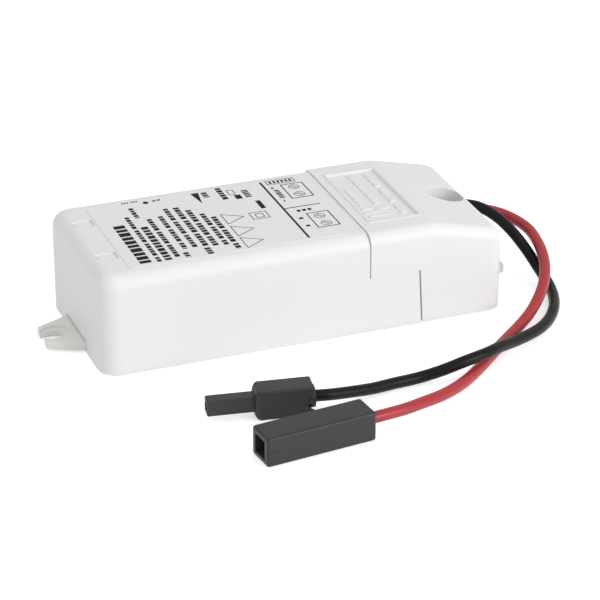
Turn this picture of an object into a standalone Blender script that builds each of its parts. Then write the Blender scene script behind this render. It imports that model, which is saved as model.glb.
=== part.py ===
"""A compact LED driver: a moulded case with a screwed terminal cover, the circuit board that it holds, and two
output leads that end in a pin plug and a socket. Metres, +Z up. X runs along the case with the cover at +X,
Y across it, and the origin is on the floor under the middle of the driver."""

from math import cos, pi, radians, sin, sqrt

import bmesh
import bpy
from mathutils import Matrix, Vector

# Case
BODY_LENGTH = 0.0882
BODY_WIDTH = 0.0380
BODY_HEIGHT = 0.0218
WALL = 0.0018
CORNER_RADIUS = 0.0042
EDGE_RADIUS = 0.0030

# Clearances
FIT = 0.0003
SEAM = 0.0002
SEAT = 0.0002
OVER = 0.0010

# Terminal cover
COVER_LENGTH = 0.0304
COVER_CORNER = 0.0031
COVER_RIM = 0.0025
COVER_LIFT = 0.0005
SKIRT_LENGTH = 0.0186
STEP_HEIGHT = 0.0124
SLOPE_LENGTH = 0.0157
SLOPE_DROP = 0.0037
COVER_PROUD = 0.00025
PANEL_LENGTH = 0.0108
PANEL_TO_SIDE = 0.0064
PANEL_MARGIN = 0.0026
PANEL_DEPTH = 0.0004
RELIEF_HEIGHT = 0.0003

# Cover screw and its well
WELL_TO_END = 0.0056
WELL_RADIUS = 0.0041
WELL_WALL = 0.0014
WELL_FLOOR = 0.0016
BOSS_TOP = 0.0071
BOSS_RADIUS = 0.0028
SCREW_RADIUS = 0.00115
SCREW_LENGTH = 0.0060
SCREW_HEAD_RADIUS = 0.0028
SCREW_HEAD_HEIGHT = 0.0021

# Base plate and lugs
BASE_THICKNESS = 0.0023
LUG_REACH = 0.0074
LUG_LIFT = 0.0005
LUG_ROOT_WIDTH = 0.0138
LUG_TIP_WIDTH = 0.0072
SLOT_WIDTH = 0.0035
SLOT_CENTRE = 0.0046
SINK_RADIUS = 0.0032
SINK_DEPTH = 0.0005
RAIL_WIDTH = 0.0010

# Snap windows in the top, near the plain end
WINDOW_TO_END = 0.0026
WINDOW_LENGTH = 0.0042
WINDOW_WIDTH = 0.0030
WINDOW_DEPTH = 0.0010
WINDOW_TO_SIDE = 0.0107
SNAP_WIDTH = 0.0009
SNAP_LENGTH = 0.0034

# Rating label
LABEL_THICKNESS = 0.0001
LABEL_TO_SIDE = 0.0034
LABEL_MARGIN = 0.0073
LABEL_TO_SEAM = 0.0026
LABEL_CORNER = 0.0010

# Circuit board
STANDOFF_HEIGHT = 0.0022
BOARD_THICKNESS = 0.0016
BOARD_MARGIN = 0.0005
BOARD_CORNER = 0.0016
HOLE_RADIUS = 0.00065
LEG_RADIUS = 0.00030
LEG_BELOW = 0.0008
PACKING = 0.0007
HEADROOM = 0.0014
LEG_INSET = 0.0015
CHIP_LEG_REACH = 0.0008
CHIP_LEG_THICKNESS = 0.0003
CHIP_STANDOFF = 0.0004
CHIP_HEIGHT = 0.0033
DISC_INSET = 0.0013
FILM_INSET = 0.0020
AXIAL_INSET = 0.0003
AXIAL_BEND = 0.0009
CHOKE_FLANGE = 0.0012
TRANSISTOR_THICKNESS = 0.0023
TRANSISTOR_WIDTH = 0.0066
TRANSISTOR_HEIGHT = 0.0061
TRANSISTOR_PITCH = 0.0023
BOBBIN_WALL = 0.0005
BOBBIN_FLANGE = 0.0009
BOBBIN_FOOT = 0.0022
PARTITION_THICKNESS = 0.0020
PARTITION_OVERLAP = 0.0008

# Screw terminals
TERMINAL_PITCH = 0.0050
TERMINAL_LENGTH = 0.0095
TERMINAL_HEIGHT = 0.0094
TERMINAL_MARGIN = 0.00045
TERMINAL_SETBACK = 0.0022
TERMINAL_CHAMFER = 0.0020
CAGE_LENGTH = 0.0046
CAGE_WIDTH = 0.0035
CAGE_HEIGHT = 0.0056
CAGE_WALL = 0.0006
CAGE_SETBACK = 0.0030
TERMINAL_SCREW_RADIUS = 0.0010
TERMINAL_HEAD_RADIUS = 0.00165
TERMINAL_HEAD_HEIGHT = 0.0019

# Cable entries in the end of the cover
ENTRY_LOW = 0.0074
ENTRY_HIGH = 0.0133
CLAMP_TO_END = 0.0074
CLAMP_THICKNESS = 0.0012
CLAMP_LOW = 0.0076
CLAMP_HIGH = 0.0122

# Leads and their connectors
LEAD_DIAMETER = 0.0024
CONDUCTOR_RADIUS = 0.0006
LEAD_POINT_SPACING = 0.0050
CONNECTOR_SIZE = 0.0063
CONNECTOR_CHAMFER = 0.0004
SOCKET_LENGTH = 0.0235
SOCKET_WIDTH = 0.0067
SOCKET_PLACE = (-0.0261, -0.0613)
SOCKET_TURN = radians(6.5)
SOCKET_OPENING = 0.0040
SOCKET_DEPTH = 0.0095
PLUG_LENGTH = 0.0213
PLUG_WIDTH = 0.0052
PLUG_PLACE = (-0.0305, -0.0426)
PLUG_TURN = radians(-9.0)
NOSE_SIZE = 0.0034
NOSE_WIDTH = 0.0030
NOSE_LENGTH = 0.0094
PLUG_THROAT = 0.0015
CONTACT_RADIUS = 0.00075
CONTACT_BARREL = 0.0011
BORE_RADIUS = 0.00155
LEAD_INSERTION = 0.0015

# Places that follow from the sizes above
RIGHT = BODY_LENGTH / 2
LEFT = -RIGHT
BACK = BODY_WIDTH / 2
FRONT = -BACK
ROOF = BODY_HEIGHT - WALL
SEAM_X = RIGHT - COVER_LENGTH
SKIRT_X = RIGHT - SKIRT_LENGTH
CREASE_X = RIGHT - SLOPE_LENGTH
WELL_X = RIGHT - WELL_TO_END
WELL_SHOULDER = BOSS_TOP + FIT + WELL_FLOOR
COLUMN_RADIUS = WELL_RADIUS + WELL_WALL
ENTRY_ROOM = BACK - WALL - COLUMN_RADIUS
ENTRY_NEAR = COLUMN_RADIUS + ENTRY_ROOM * 0.172
ENTRY_FAR = BACK - WALL - ENTRY_ROOM * 0.1
PANEL_WIDTH = BODY_WIDTH - 2 * PANEL_TO_SIDE
LABEL_WIDTH = BODY_WIDTH - 2 * LABEL_TO_SIDE
WINDOW_SPREAD = BODY_WIDTH - 2 * WINDOW_TO_SIDE
BOARD_BOTTOM = BASE_THICKNESS + STANDOFF_HEIGHT
BOARD_TOP = BOARD_BOTTOM + BOARD_THICKNESS
BOARD_BACK = BACK - WALL - BOARD_MARGIN
BOARD_LEFT = LEFT + WALL + BOARD_MARGIN
BOARD_RIGHT = WELL_X - COLUMN_RADIUS - BOARD_MARGIN
STAND = BOARD_TOP + SEAT
TALLEST = ROOF - HEADROOM - STAND
CORE_THICKNESS = TALLEST * 0.376
LEG_FOOT = BOARD_BOTTOM - LEG_BELOW
PARTITION_LEFT = SEAM_X + PARTITION_OVERLAP - PARTITION_THICKNESS
PARTITION_RIGHT = SEAM_X + PARTITION_OVERLAP
TERMINAL_RIGHT = BOARD_RIGHT - TERMINAL_SETBACK
TERMINAL_FROM_MIDDLE = BOARD_BACK - TERMINAL_MARGIN - TERMINAL_PITCH
CAGE_X = TERMINAL_RIGHT - CAGE_SETBACK - CAGE_LENGTH
LEAD_START_X = TERMINAL_RIGHT + FIT
BLACK_POLE = TERMINAL_FROM_MIDDLE - TERMINAL_PITCH / 2
RED_POLE = TERMINAL_FROM_MIDDLE + TERMINAL_PITCH / 2
BLACK_LANE = ENTRY_NEAR + (ENTRY_FAR - ENTRY_NEAR) * 0.25
RED_LANE = ENTRY_NEAR + (ENTRY_FAR - ENTRY_NEAR) * 0.75
CONNECTOR_AXIS = CONNECTOR_SIZE / 2

# The middle line of each lead, from its terminal through the cable entry to its connector
BLACK_ROUTE = [
    (LEAD_START_X, BLACK_POLE, 0.0092),
    (0.0355, BLACK_LANE - 0.0009, 0.0097),
    (0.0403, BLACK_LANE, 0.0108),
    (0.0451, BLACK_LANE + 0.0001, 0.0118),
    (0.0494, 0.0070, 0.0120),
    (0.0519, 0.0022, 0.0112),
    (0.0537, -0.0024, 0.0093),
    (0.0556, -0.0058, 0.0062),
    (0.0568, -0.0099, 0.0032),
    (0.0569, -0.0153, 0.0015),
    (0.0553, -0.0207, 0.0013),
    (0.0530, -0.0253, 0.0013),
    (0.0499, -0.0294, 0.0013),
    (0.0462, -0.0329, 0.0016),
    (0.0420, -0.0358, 0.0021),
    (0.0376, -0.0385, 0.0028),
    (0.0333, -0.0413, 0.0038),
    (0.0289, -0.0438, 0.0043),
    (0.0240, -0.0447, 0.0039),
    (0.0191, -0.0441, 0.0024),
    (0.0142, -0.0434, 0.0013),
    (0.0090, -0.0438, 0.0013),
    (0.0040, -0.0448, 0.0016),
    (-0.0009, -0.0458, 0.0023),
    (-0.0060, -0.0465, 0.0030),
    (-0.0110, -0.0457, CONNECTOR_AXIS),
]
RED_ROUTE = [
    (LEAD_START_X, RED_POLE, 0.0092),
    (0.0357, RED_LANE - 0.0003, 0.0092),
    (0.0407, RED_LANE + 0.0001, 0.0093),
    (0.0458, RED_LANE - 0.0001, 0.0094),
    (0.0506, 0.0112, 0.0095),
    (0.0545, 0.0080, 0.0094),
    (0.0570, 0.0036, 0.0091),
    (0.0582, -0.0014, 0.0086),
    (0.0580, -0.0067, 0.0077),
    (0.0569, -0.0118, 0.0067),
    (0.0551, -0.0164, 0.0056),
    (0.0527, -0.0204, 0.0044),
    (0.0498, -0.0239, 0.0033),
    (0.0464, -0.0273, 0.0023),
    (0.0425, -0.0305, 0.0016),
    (0.0386, -0.0337, 0.0013),
    (0.0348, -0.0371, 0.0013),
    (0.0311, -0.0406, 0.0013),
    (0.0274, -0.0440, 0.0013),
    (0.0235, -0.0473, 0.0013),
    (0.0194, -0.0503, 0.0015),
    (0.0151, -0.0529, 0.0019),
    (0.0105, -0.0550, 0.0024),
    (0.0058, -0.0569, 0.0028),
    (0.0008, -0.0581, 0.0031),
    (-0.0042, -0.0588, CONNECTOR_AXIS),
]

LEAD_AXIS = BLACK_ROUTE[0][2]

# Every leg of a part leaves its place here, and the board is drilled there
board_holes = []


def finish(name, colour, roughness, metallic=0.0):
    material = bpy.data.materials.new(name)
    material.use_nodes = True
    shader = material.node_tree.nodes["Principled BSDF"]
    shader.inputs["Base Color"].default_value = (*colour, 1.0)
    shader.inputs["Roughness"].default_value = roughness
    shader.inputs["Metallic"].default_value = metallic
    return material


def piece(name, mesh, material=None):
    """Turns a bmesh into a named object."""
    data = bpy.data.meshes.new(name)
    mesh.to_mesh(data)
    mesh.free()
    if material:
        data.materials.append(material)
    thing = bpy.data.objects.new(name, data)
    bpy.context.collection.objects.link(thing)
    return thing


def rounded(thing):
    """Shades a round piece smooth and keeps its real edges."""
    thing.data.shade_smooth()
    thing.data.set_sharp_from_angle(angle=radians(35))
    return thing


def boolean(target, tool, operation):
    tool.hide_render = True
    tool.display_type = "WIRE"
    modifier = target.modifiers.new(tool.name, "BOOLEAN")
    modifier.operation = operation
    modifier.object = tool
    return target


def cut(target, tool):
    return boolean(target, tool, "DIFFERENCE")


def join(target, tool):
    return boolean(target, tool, "UNION")


def add_box(mesh, low, high):
    low, high = Vector(low), Vector(high)
    size = Matrix.Diagonal((*(high - low), 1.0))
    made = bmesh.ops.create_cube(mesh, size=1.0, matrix=Matrix.Translation((low + high) / 2) @ size)
    return made["verts"]


def box(name, low, high, material=None, chamfer=0.0):
    mesh = bmesh.new()
    add_box(mesh, low, high)
    if chamfer:
        bmesh.ops.bevel(mesh, geom=mesh.edges[:], offset=chamfer, segments=1, affect="EDGES")
    return piece(name, mesh, material)


def boxes(name, corners, material=None):
    """Several boxes that don't touch, as one mesh."""
    mesh = bmesh.new()
    for low, high in corners:
        add_box(mesh, low, high)
    return piece(name, mesh, material)


def add_rings(mesh, rings, closed=False):
    """Skins a row of equal rings, with caps at both ends or joined round to the first."""
    rows = [[mesh.verts.new(point) for point in ring] for ring in rings]
    count = len(rows[0])
    pairs = list(zip(rows, rows[1:]))
    if closed:
        pairs.append((rows[-1], rows[0]))
    for lower, upper in pairs:
        for i in range(count):
            j = (i + 1) % count
            mesh.faces.new((lower[i], lower[j], upper[j], upper[i]))
    if not closed:
        mesh.faces.new(rows[0][::-1])
        mesh.faces.new(rows[-1])


def add_turned(mesh, profile, place, sides, closed=False):
    """Turns (radius, height) pairs about the place's own Z axis."""
    turns = [2 * pi * i / sides for i in range(sides)]
    rings = [[place @ Vector((r * cos(a), r * sin(a), h)) for a in turns] for r, h in profile]
    add_rings(mesh, rings, closed)


def turned(name, profile, place, sides, material=None, closed=False):
    mesh = bmesh.new()
    add_turned(mesh, profile, place, sides, closed)
    return rounded(piece(name, mesh, material))


def at(x, y, z=0.0):
    return Matrix.Translation((x, y, z))


def along_x(x, y, z):
    """A place whose own Z axis runs along +X."""
    return at(x, y, z) @ Matrix.Rotation(radians(90), 4, "Y")


def along_y(x, y, z):
    """A place whose own Z axis runs along +Y."""
    return at(x, y, z) @ Matrix.Rotation(radians(-90), 4, "X")


def add_prism(mesh, outline, place, height):
    """Extrudes an anticlockwise outline along the place's own Z axis."""
    rings = [[place @ Vector((x, y, z)) for x, y in outline] for z in (0.0, height)]
    add_rings(mesh, rings)


def prism(name, outline, place, height, material=None):
    mesh = bmesh.new()
    add_prism(mesh, outline, place, height)
    return piece(name, mesh, material)


def across(y):
    """A place for outlines drawn in X and Z, extruded along +Y from y."""
    return Matrix(((1, 0, 0, 0), (0, 0, -1, y), (0, 1, 0, 0), (0, 0, 0, 1)))


def arc(centre, radius, start, end, steps):
    """Points on an arc, with its angles in degrees."""
    turns = [radians(start + (end - start) * i / steps) for i in range(steps + 1)]
    return [(centre[0] + radius * cos(a), centre[1] + radius * sin(a)) for a in turns]


def rounded_outline(x0, x1, half_width, radius):
    """A rectangle with rounded corners, as wide to either side of the X axis."""
    half = half_width - radius
    outline = arc((x1 - radius, -half), radius, -90, 0, 3) + arc((x1 - radius, half), radius, 0, 90, 3)
    return outline + arc((x0 + radius, half), radius, 90, 180, 3) + arc((x0 + radius, -half), radius, 180, 270, 3)


def moulding(name, profile, half_width, end_x, open_side, radii, material=None):
    """A moulded block: a side profile in X and Z across the whole width, with rounded upright corners at
    end_x and a rounded top edge everywhere but at the end that meets its neighbour."""
    corner_radius, edge_radius = radii
    mesh = bmesh.new()
    add_prism(mesh, profile, across(half_width), 2 * half_width)
    bmesh.ops.recalc_face_normals(mesh, faces=mesh.faces[:])
    upright = [
        edge
        for edge in mesh.edges
        if all(abs(vert.co.x - end_x) < 1e-6 for vert in edge.verts)
        and abs(edge.verts[0].co.y - edge.verts[1].co.y) < 1e-6
    ]
    bmesh.ops.bevel(mesh, geom=upright, offset=corner_radius, segments=6, profile=0.5, affect="EDGES")
    mesh.normal_update()
    rim = []
    for edge in mesh.edges:
        tops = [face for face in edge.link_faces if face.normal.z > 0.5]
        sides = [face for face in edge.link_faces if abs(face.normal.z) < 0.1]
        if len(tops) == 1 and len(sides) == 1 and sides[0].normal.x * open_side < 0.99:
            rim.append(edge)
    bmesh.ops.bevel(mesh, geom=rim, offset=edge_radius, segments=4, profile=0.5, affect="EDGES")
    bmesh.ops.recalc_face_normals(mesh, faces=mesh.faces[:])
    return rounded(piece(name, mesh, material))


def housing_shell():
    """The case: roof, walls and the partition in front of the terminals, open below and at the cover."""
    low_end = SKIRT_X - SEAM / 2
    outline = [(LEFT, 0), (low_end, 0), (low_end, BODY_HEIGHT), (LEFT, BODY_HEIGHT)]
    case = moulding("housing_shell", outline, BACK, LEFT, 1, (CORNER_RADIUS, EDGE_RADIUS), WHITE)
    inner_left = LEFT + WALL
    beyond = SKIRT_X + OVER
    outline = [(inner_left, -OVER), (beyond, -OVER), (beyond, ROOF), (inner_left, ROOF)]
    inner_radii = (CORNER_RADIUS - WALL, EDGE_RADIUS - WALL)
    core = moulding("case_core", outline, BACK - WALL, inner_left, 1, inner_radii)
    cut(core, box(
        "partition",
        (PARTITION_LEFT, FRONT - OVER, BOARD_TOP + FIT),
        (PARTITION_RIGHT, BACK + OVER, BODY_HEIGHT + OVER),
    ))
    cut(core, boxes("board_ribs", [
        (
            (x, side * BACK if side < 0 else BOARD_BACK - FIT, BOARD_TOP + FIT),
            (x + WALL, FIT - BOARD_BACK if side < 0 else BACK, BODY_HEIGHT + OVER),
        )
        for x in (BOARD_LEFT + CORNER_RADIUS, SEAM_X - COVER_LENGTH / 2)
        for side in (-1, 1)
    ]))
    cut(case, core)
    over_case = box(
        "over_case",
        (SEAM_X - SEAM / 2, FRONT - OVER, STEP_HEIGHT - SEAM / 2),
        (SKIRT_X + OVER, BACK + OVER, BODY_HEIGHT + OVER),
    )
    cut(over_case, box(
        "partition_tongue",
        (PARTITION_LEFT, FRONT + WALL + FIT, 0),
        (PARTITION_RIGHT, BACK - WALL - FIT, ROOF - FIT),
    ))
    cut(case, over_case)
    cut(case, lug_notch("left_notch", -1))
    for side in (-1, 1):
        cut(case, snap_window(side))
    return case


def lug_notch(name, side):
    half = LUG_ROOT_WIDTH / 2 + FIT
    ends = sorted((side * (RIGHT + OVER), side * (RIGHT - WALL - OVER)))
    return box(name, (ends[0], -half, -OVER), (ends[1], half, BASE_THICKNESS + FIT))


def snap_window(side):
    """A shallow window in the roof round the small rib of a snap finger."""
    middle_x = LEFT + WINDOW_TO_END + WINDOW_LENGTH / 2
    middle_y = side * WINDOW_SPREAD / 2
    window = box(
        f"snap_window_{side}",
        (middle_x - WINDOW_LENGTH / 2, middle_y - WINDOW_WIDTH / 2, BODY_HEIGHT - WINDOW_DEPTH),
        (middle_x + WINDOW_LENGTH / 2, middle_y + WINDOW_WIDTH / 2, BODY_HEIGHT + OVER),
    )
    return cut(window, box(
        f"snap_rib_{side}",
        (middle_x - SNAP_LENGTH / 2, middle_y - SNAP_WIDTH / 2, 0),
        (middle_x + SNAP_LENGTH / 2, middle_y + SNAP_WIDTH / 2, BODY_HEIGHT - FIT / 2),
    ))


def base_outline():
    """The base plate with both lugs: the +X half of the outline, then the same half turned round."""
    edge_x = RIGHT - WALL - FIT
    edge_y = BACK - WALL - FIT
    radius = CORNER_RADIUS - WALL
    root, tip, slot = LUG_ROOT_WIDTH / 2, LUG_TIP_WIDTH / 2, SLOT_WIDTH / 2
    tip_x = RIGHT + LUG_REACH
    slot_x = RIGHT + SLOT_CENTRE
    half = arc((edge_x - radius, radius - edge_y), radius, -90, 0, 4)
    half += [(edge_x, -root), (RIGHT, -root), (tip_x, -tip), (tip_x, -slot)]
    half += arc((slot_x, 0), slot, -90, -270, 8)
    half += [(tip_x, slot), (tip_x, tip), (RIGHT, root), (edge_x, root)]
    half += arc((edge_x - radius, edge_y - radius), radius, 0, 90, 4)
    return half + [(-x, -y) for x, y in half]


def base_plate():
    """The bottom: one moulding with the lugs, the board rails, the screw boss and the cable ribs."""
    base = prism("base_plate", base_outline(), at(0, 0), BASE_THICKNESS, WARM_WHITE)
    sinks = bmesh.new()
    for side in (-1, 1):
        place = at(side * (RIGHT + SLOT_CENTRE), 0, BASE_THICKNESS)
        add_turned(sinks, [(SINK_RADIUS, -SINK_DEPTH), (SINK_RADIUS, OVER)], place, 24)
    cut(base, piece("screw_head_seats", sinks))
    cut(base, boxes("lug_undersides", [
        ((RIGHT, -LUG_ROOT_WIDTH, -OVER), (RIGHT + LUG_REACH + OVER, LUG_ROOT_WIDTH, LUG_LIFT)),
        ((LEFT - LUG_REACH - OVER, -LUG_ROOT_WIDTH, -OVER), (LEFT, LUG_ROOT_WIDTH, LUG_LIFT)),
    ]))
    rail_low = BASE_THICKNESS / 2
    rail_end = BOARD_RIGHT - CORNER_RADIUS
    join(base, boxes("board_rails", [
        ((BOARD_LEFT + CORNER_RADIUS, BOARD_BACK - RAIL_WIDTH, rail_low), (rail_end, BOARD_BACK, BOARD_BOTTOM)),
        ((BOARD_LEFT + CORNER_RADIUS, -BOARD_BACK, rail_low), (rail_end, RAIL_WIDTH - BOARD_BACK, BOARD_BOTTOM)),
    ]))
    boss = turned("screw_boss", [(BOSS_RADIUS, rail_low), (BOSS_RADIUS, BOSS_TOP)], at(WELL_X, 0), 24)
    join(base, boss)
    bore = SCREW_RADIUS + SEAT
    cut(base, turned("boss_bore", [(bore, BASE_THICKNESS), (bore, BOSS_TOP + OVER)], at(WELL_X, 0), 16))
    join(base, cable_ribs("base_cable_ribs", rail_low, CLAMP_LOW))
    return base


def cable_ribs(name, low, high):
    x = RIGHT - CLAMP_TO_END
    return boxes(name, [
        ((x, ENTRY_NEAR, low), (x + CLAMP_THICKNESS, ENTRY_FAR, high)),
        ((x, -ENTRY_FAR, low), (x + CLAMP_THICKNESS, -ENTRY_NEAR, high)),
    ])


def cover_profile(offset, floor, open_x):
    """The cover's side profile, moved inwards by an offset all round."""
    end_x = RIGHT - offset
    top = BODY_HEIGHT + COVER_PROUD
    fall = SLOPE_DROP / SLOPE_LENGTH
    slant = sqrt(1 + fall * fall)
    crease_x = CREASE_X - offset * (slant - 1) / fall
    end_top = top - fall * (end_x - CREASE_X) - offset * slant
    return [(open_x, floor), (end_x, floor), (end_x, end_top), (crease_x, top - offset), (open_x, top - offset)]


def relief_bars():
    """The raised sign in the cover's panel, as shares of it: an insulated wire end beside its stripped length."""
    left = SEAM_X + PANEL_MARGIN
    low = BODY_HEIGHT - PANEL_DEPTH * 3
    high = BODY_HEIGHT + COVER_PROUD - PANEL_DEPTH + RELIEF_HEIGHT
    rows = [
        (0.21, 0.45, -0.38, 0.04),
        (0.29, 0.38, 0.055, 0.285),
        (0.61, 0.65, 0.055, 0.285),
        (0.555, 0.705, 0.31, 0.325),
        (0.555, 0.705, 0.015, 0.032),
        (0.575, 0.72, -0.38, -0.08),
    ]
    return boxes("relief_bars", [
        ((left + x0 * PANEL_LENGTH, y0 * PANEL_WIDTH, low), (left + x1 * PANEL_LENGTH, y1 * PANEL_WIDTH, high))
        for x0, x1, y0, y1 in rows
    ])


def terminal_cover():
    """The cover: a hood over the terminals with a sloping end, a screw well and two cable entries."""
    half_width = BACK + COVER_PROUD
    outer = cover_profile(0, COVER_LIFT, SEAM_X + SEAM / 2)
    cover = moulding("terminal_cover", outer, half_width, RIGHT, -1, (COVER_CORNER, COVER_RIM), WHITE)
    cut(cover, box(
        "below_step",
        (SEAM_X - OVER, FRONT - OVER, -OVER),
        (SKIRT_X + SEAM / 2, BACK + OVER, STEP_HEIGHT + SEAM / 2),
    ))
    inner_radii = (COVER_CORNER - WALL, COVER_RIM - WALL)
    inner = cover_profile(WALL, -OVER, SEAM_X - OVER)
    core = moulding("cover_core", inner, half_width - WALL, RIGHT - WALL, -1, inner_radii)
    column = [(COLUMN_RADIUS, BOSS_TOP + FIT), (COLUMN_RADIUS, BODY_HEIGHT + OVER)]
    cut(core, turned("well_column", column, at(WELL_X, 0), 32))
    cut(core, cable_ribs("cover_cable_ribs", CLAMP_HIGH, BODY_HEIGHT + OVER))
    cut(cover, core)
    clear = SCREW_RADIUS + 2 * FIT
    bore = [(clear, 0), (clear, WELL_SHOULDER), (WELL_RADIUS, WELL_SHOULDER), (WELL_RADIUS, BODY_HEIGHT + OVER)]
    cut(cover, turned("well_bore", bore, at(WELL_X, 0), 32))
    cut(cover, boxes("cable_entries", [
        ((RIGHT - WALL - OVER, ENTRY_NEAR, ENTRY_LOW), (RIGHT + OVER, ENTRY_FAR, ENTRY_HIGH)),
        ((RIGHT - WALL - OVER, -ENTRY_FAR, ENTRY_LOW), (RIGHT + OVER, -ENTRY_NEAR, ENTRY_HIGH)),
    ]))
    cut(cover, lug_notch("right_notch", 1))
    panel_left = SEAM_X + PANEL_MARGIN
    panel = box(
        "panel",
        (panel_left, -PANEL_WIDTH / 2, BODY_HEIGHT + COVER_PROUD - PANEL_DEPTH),
        (panel_left + PANEL_LENGTH, PANEL_WIDTH / 2, BODY_HEIGHT + OVER),
    )
    cut(cover, cut(panel, relief_bars()))
    return cover


def cover_screw():
    """A pan-head screw with a cross recess, through the well's floor into the boss."""
    low = WELL_SHOULDER + SEAT
    top = low + SCREW_HEAD_HEIGHT
    head = SCREW_HEAD_RADIUS
    profile = [
        (SCREW_RADIUS * 0.6, low - SCREW_LENGTH),
        (SCREW_RADIUS, low - SCREW_LENGTH + SCREW_RADIUS),
        (SCREW_RADIUS, low),
        (head, low),
        (head, low + SCREW_HEAD_HEIGHT * 0.45),
        (head * 0.8, low + SCREW_HEAD_HEIGHT * 0.85),
        (head * 0.5, top),
    ]
    screw = turned("cover_screw", profile, at(WELL_X, 0), 24, STEEL)
    arm, web, floor = head * 0.6, head * 0.12, top - SCREW_HEAD_HEIGHT * 0.6
    for name, x, y in (("recess_along", arm, web), ("recess_across", web, arm)):
        cut(screw, box(name, (WELL_X - x, -y, floor), (WELL_X + x, y, top + OVER)))
    return screw


def rating_label():
    """The film label on the roof, with rounded corners."""
    outline = rounded_outline(LEFT + LABEL_MARGIN, SEAM_X - LABEL_TO_SEAM, LABEL_WIDTH / 2, LABEL_CORNER)
    return prism("rating_label", outline, at(0, 0, BODY_HEIGHT), LABEL_THICKNESS, FILM)


def circuit_board():
    """The board, drilled wherever a leg was given to a part."""
    outline = rounded_outline(BOARD_LEFT, BOARD_RIGHT, BOARD_BACK, BOARD_CORNER)
    board = prism("circuit_board", outline, at(0, 0, BOARD_BOTTOM), BOARD_THICKNESS, FR4)
    drills = bmesh.new()
    for x, y in board_holes:
        add_turned(drills, [(HOLE_RADIUS, BOARD_BOTTOM - OVER), (HOLE_RADIUS, BOARD_TOP + OVER)], at(x, y), 6)
    return cut(board, piece("drills", drills))


def with_legs(thing, spots, into):
    """Adds straight legs from inside a body down through the board, and books their holes."""
    mesh = bmesh.new()
    for x, y in spots:
        add_turned(mesh, [(LEG_RADIUS, LEG_FOOT), (LEG_RADIUS, into)], at(x, y), 6)
        board_holes.append((x, y))
    return join(thing, piece(f"{thing.name}_legs", mesh))


def shares(low, high, *weights):
    """Shares a stretch of the board among neighbours by weight, with a packing gap between each two."""
    unit = (high - low - PACKING * (len(weights) - 1)) / sum(weights)
    spans = []
    for weight in weights:
        spans.append((low, low + weight * unit))
        low += weight * unit + PACKING
    return spans


def middle(span):
    return (span[0] + span[1]) / 2


def width(span):
    return span[1] - span[0]


def can(name, across_x, across_y, material):
    """A standing electrolytic capacitor as wide as its room: a can with its rolled groove and two legs."""
    x, y = middle(across_x), middle(across_y)
    radius = min(width(across_x), width(across_y)) / 2
    groove = STAND + radius * 0.42
    profile = [
        (radius * 0.94, STAND), (radius, STAND + radius * 0.08), (radius, groove - radius * 0.1),
        (radius * 0.92, groove), (radius, groove + radius * 0.1), (radius, STAND + TALLEST - radius * 0.08),
        (radius * 0.94, STAND + TALLEST),
    ]
    thing = turned(name, profile, at(x, y), 24, material)
    return with_legs(thing, [(x - radius / 2, y), (x + radius / 2, y)], STAND + OVER)


def disc(name, x, y, radius, thickness, facing_y, material):
    """A dipped disc that stands on edge on its two legs."""
    axis_height = STAND + radius
    spread = radius * 0.65
    bead = [
        (radius * 0.8, 0), (radius, thickness * 0.3), (radius, thickness * 0.7), (radius * 0.8, thickness),
    ]
    if facing_y:
        thing = turned(name, bead, along_y(x, y - thickness / 2, axis_height), 20, material)
        spots = [(x - spread, y), (x + spread, y)]
    else:
        thing = turned(name, bead, along_x(x - thickness / 2, y, axis_height), 20, material)
        spots = [(x, y - spread), (x, y + spread)]
    return with_legs(thing, spots, axis_height)


def staple(name, reach, drop):
    """The one wire of an axial part, bent down at both ends, drawn about the part's middle."""
    half, thick = reach / 2, 2 * LEG_RADIUS
    outline = [
        (-half, -drop), (thick - half, -drop), (thick - half, -thick / 2), (half - thick, -thick / 2),
        (half - thick, -drop), (half, -drop), (half, thick / 2), (-half, thick / 2),
    ]
    return prism(name, outline, across(thick / 2), thick)


def axial(name, along, beside, turn, material):
    """A resistor or diode that lies in its room, with its wire bent down at both ends."""
    radius = width(beside) / 2 - AXIAL_INSET
    reach = width(along) - 2 * AXIAL_INSET
    length = reach - 2 * AXIAL_BEND
    axis_height = STAND + radius
    profile = [
        (radius * 0.8, -length / 2), (radius, radius * 0.4 - length / 2),
        (radius, length / 2 - radius * 0.4), (radius * 0.8, length / 2),
    ]
    thing = turned(name, profile, Matrix.Rotation(radians(90), 4, "Y"), 16, material)
    wire = staple(f"{name}_wire", reach, axis_height - LEG_FOOT)
    x, y = (middle(beside), middle(along)) if turn else (middle(along), middle(beside))
    thing.rotation_euler.z = wire.rotation_euler.z = turn
    thing.location = wire.location = (x, y, axis_height)
    half = reach / 2 - LEG_RADIUS
    for end in (-half, half):
        board_holes.append((x + end * cos(turn), y + end * sin(turn)))
    return join(thing, wire)


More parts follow.
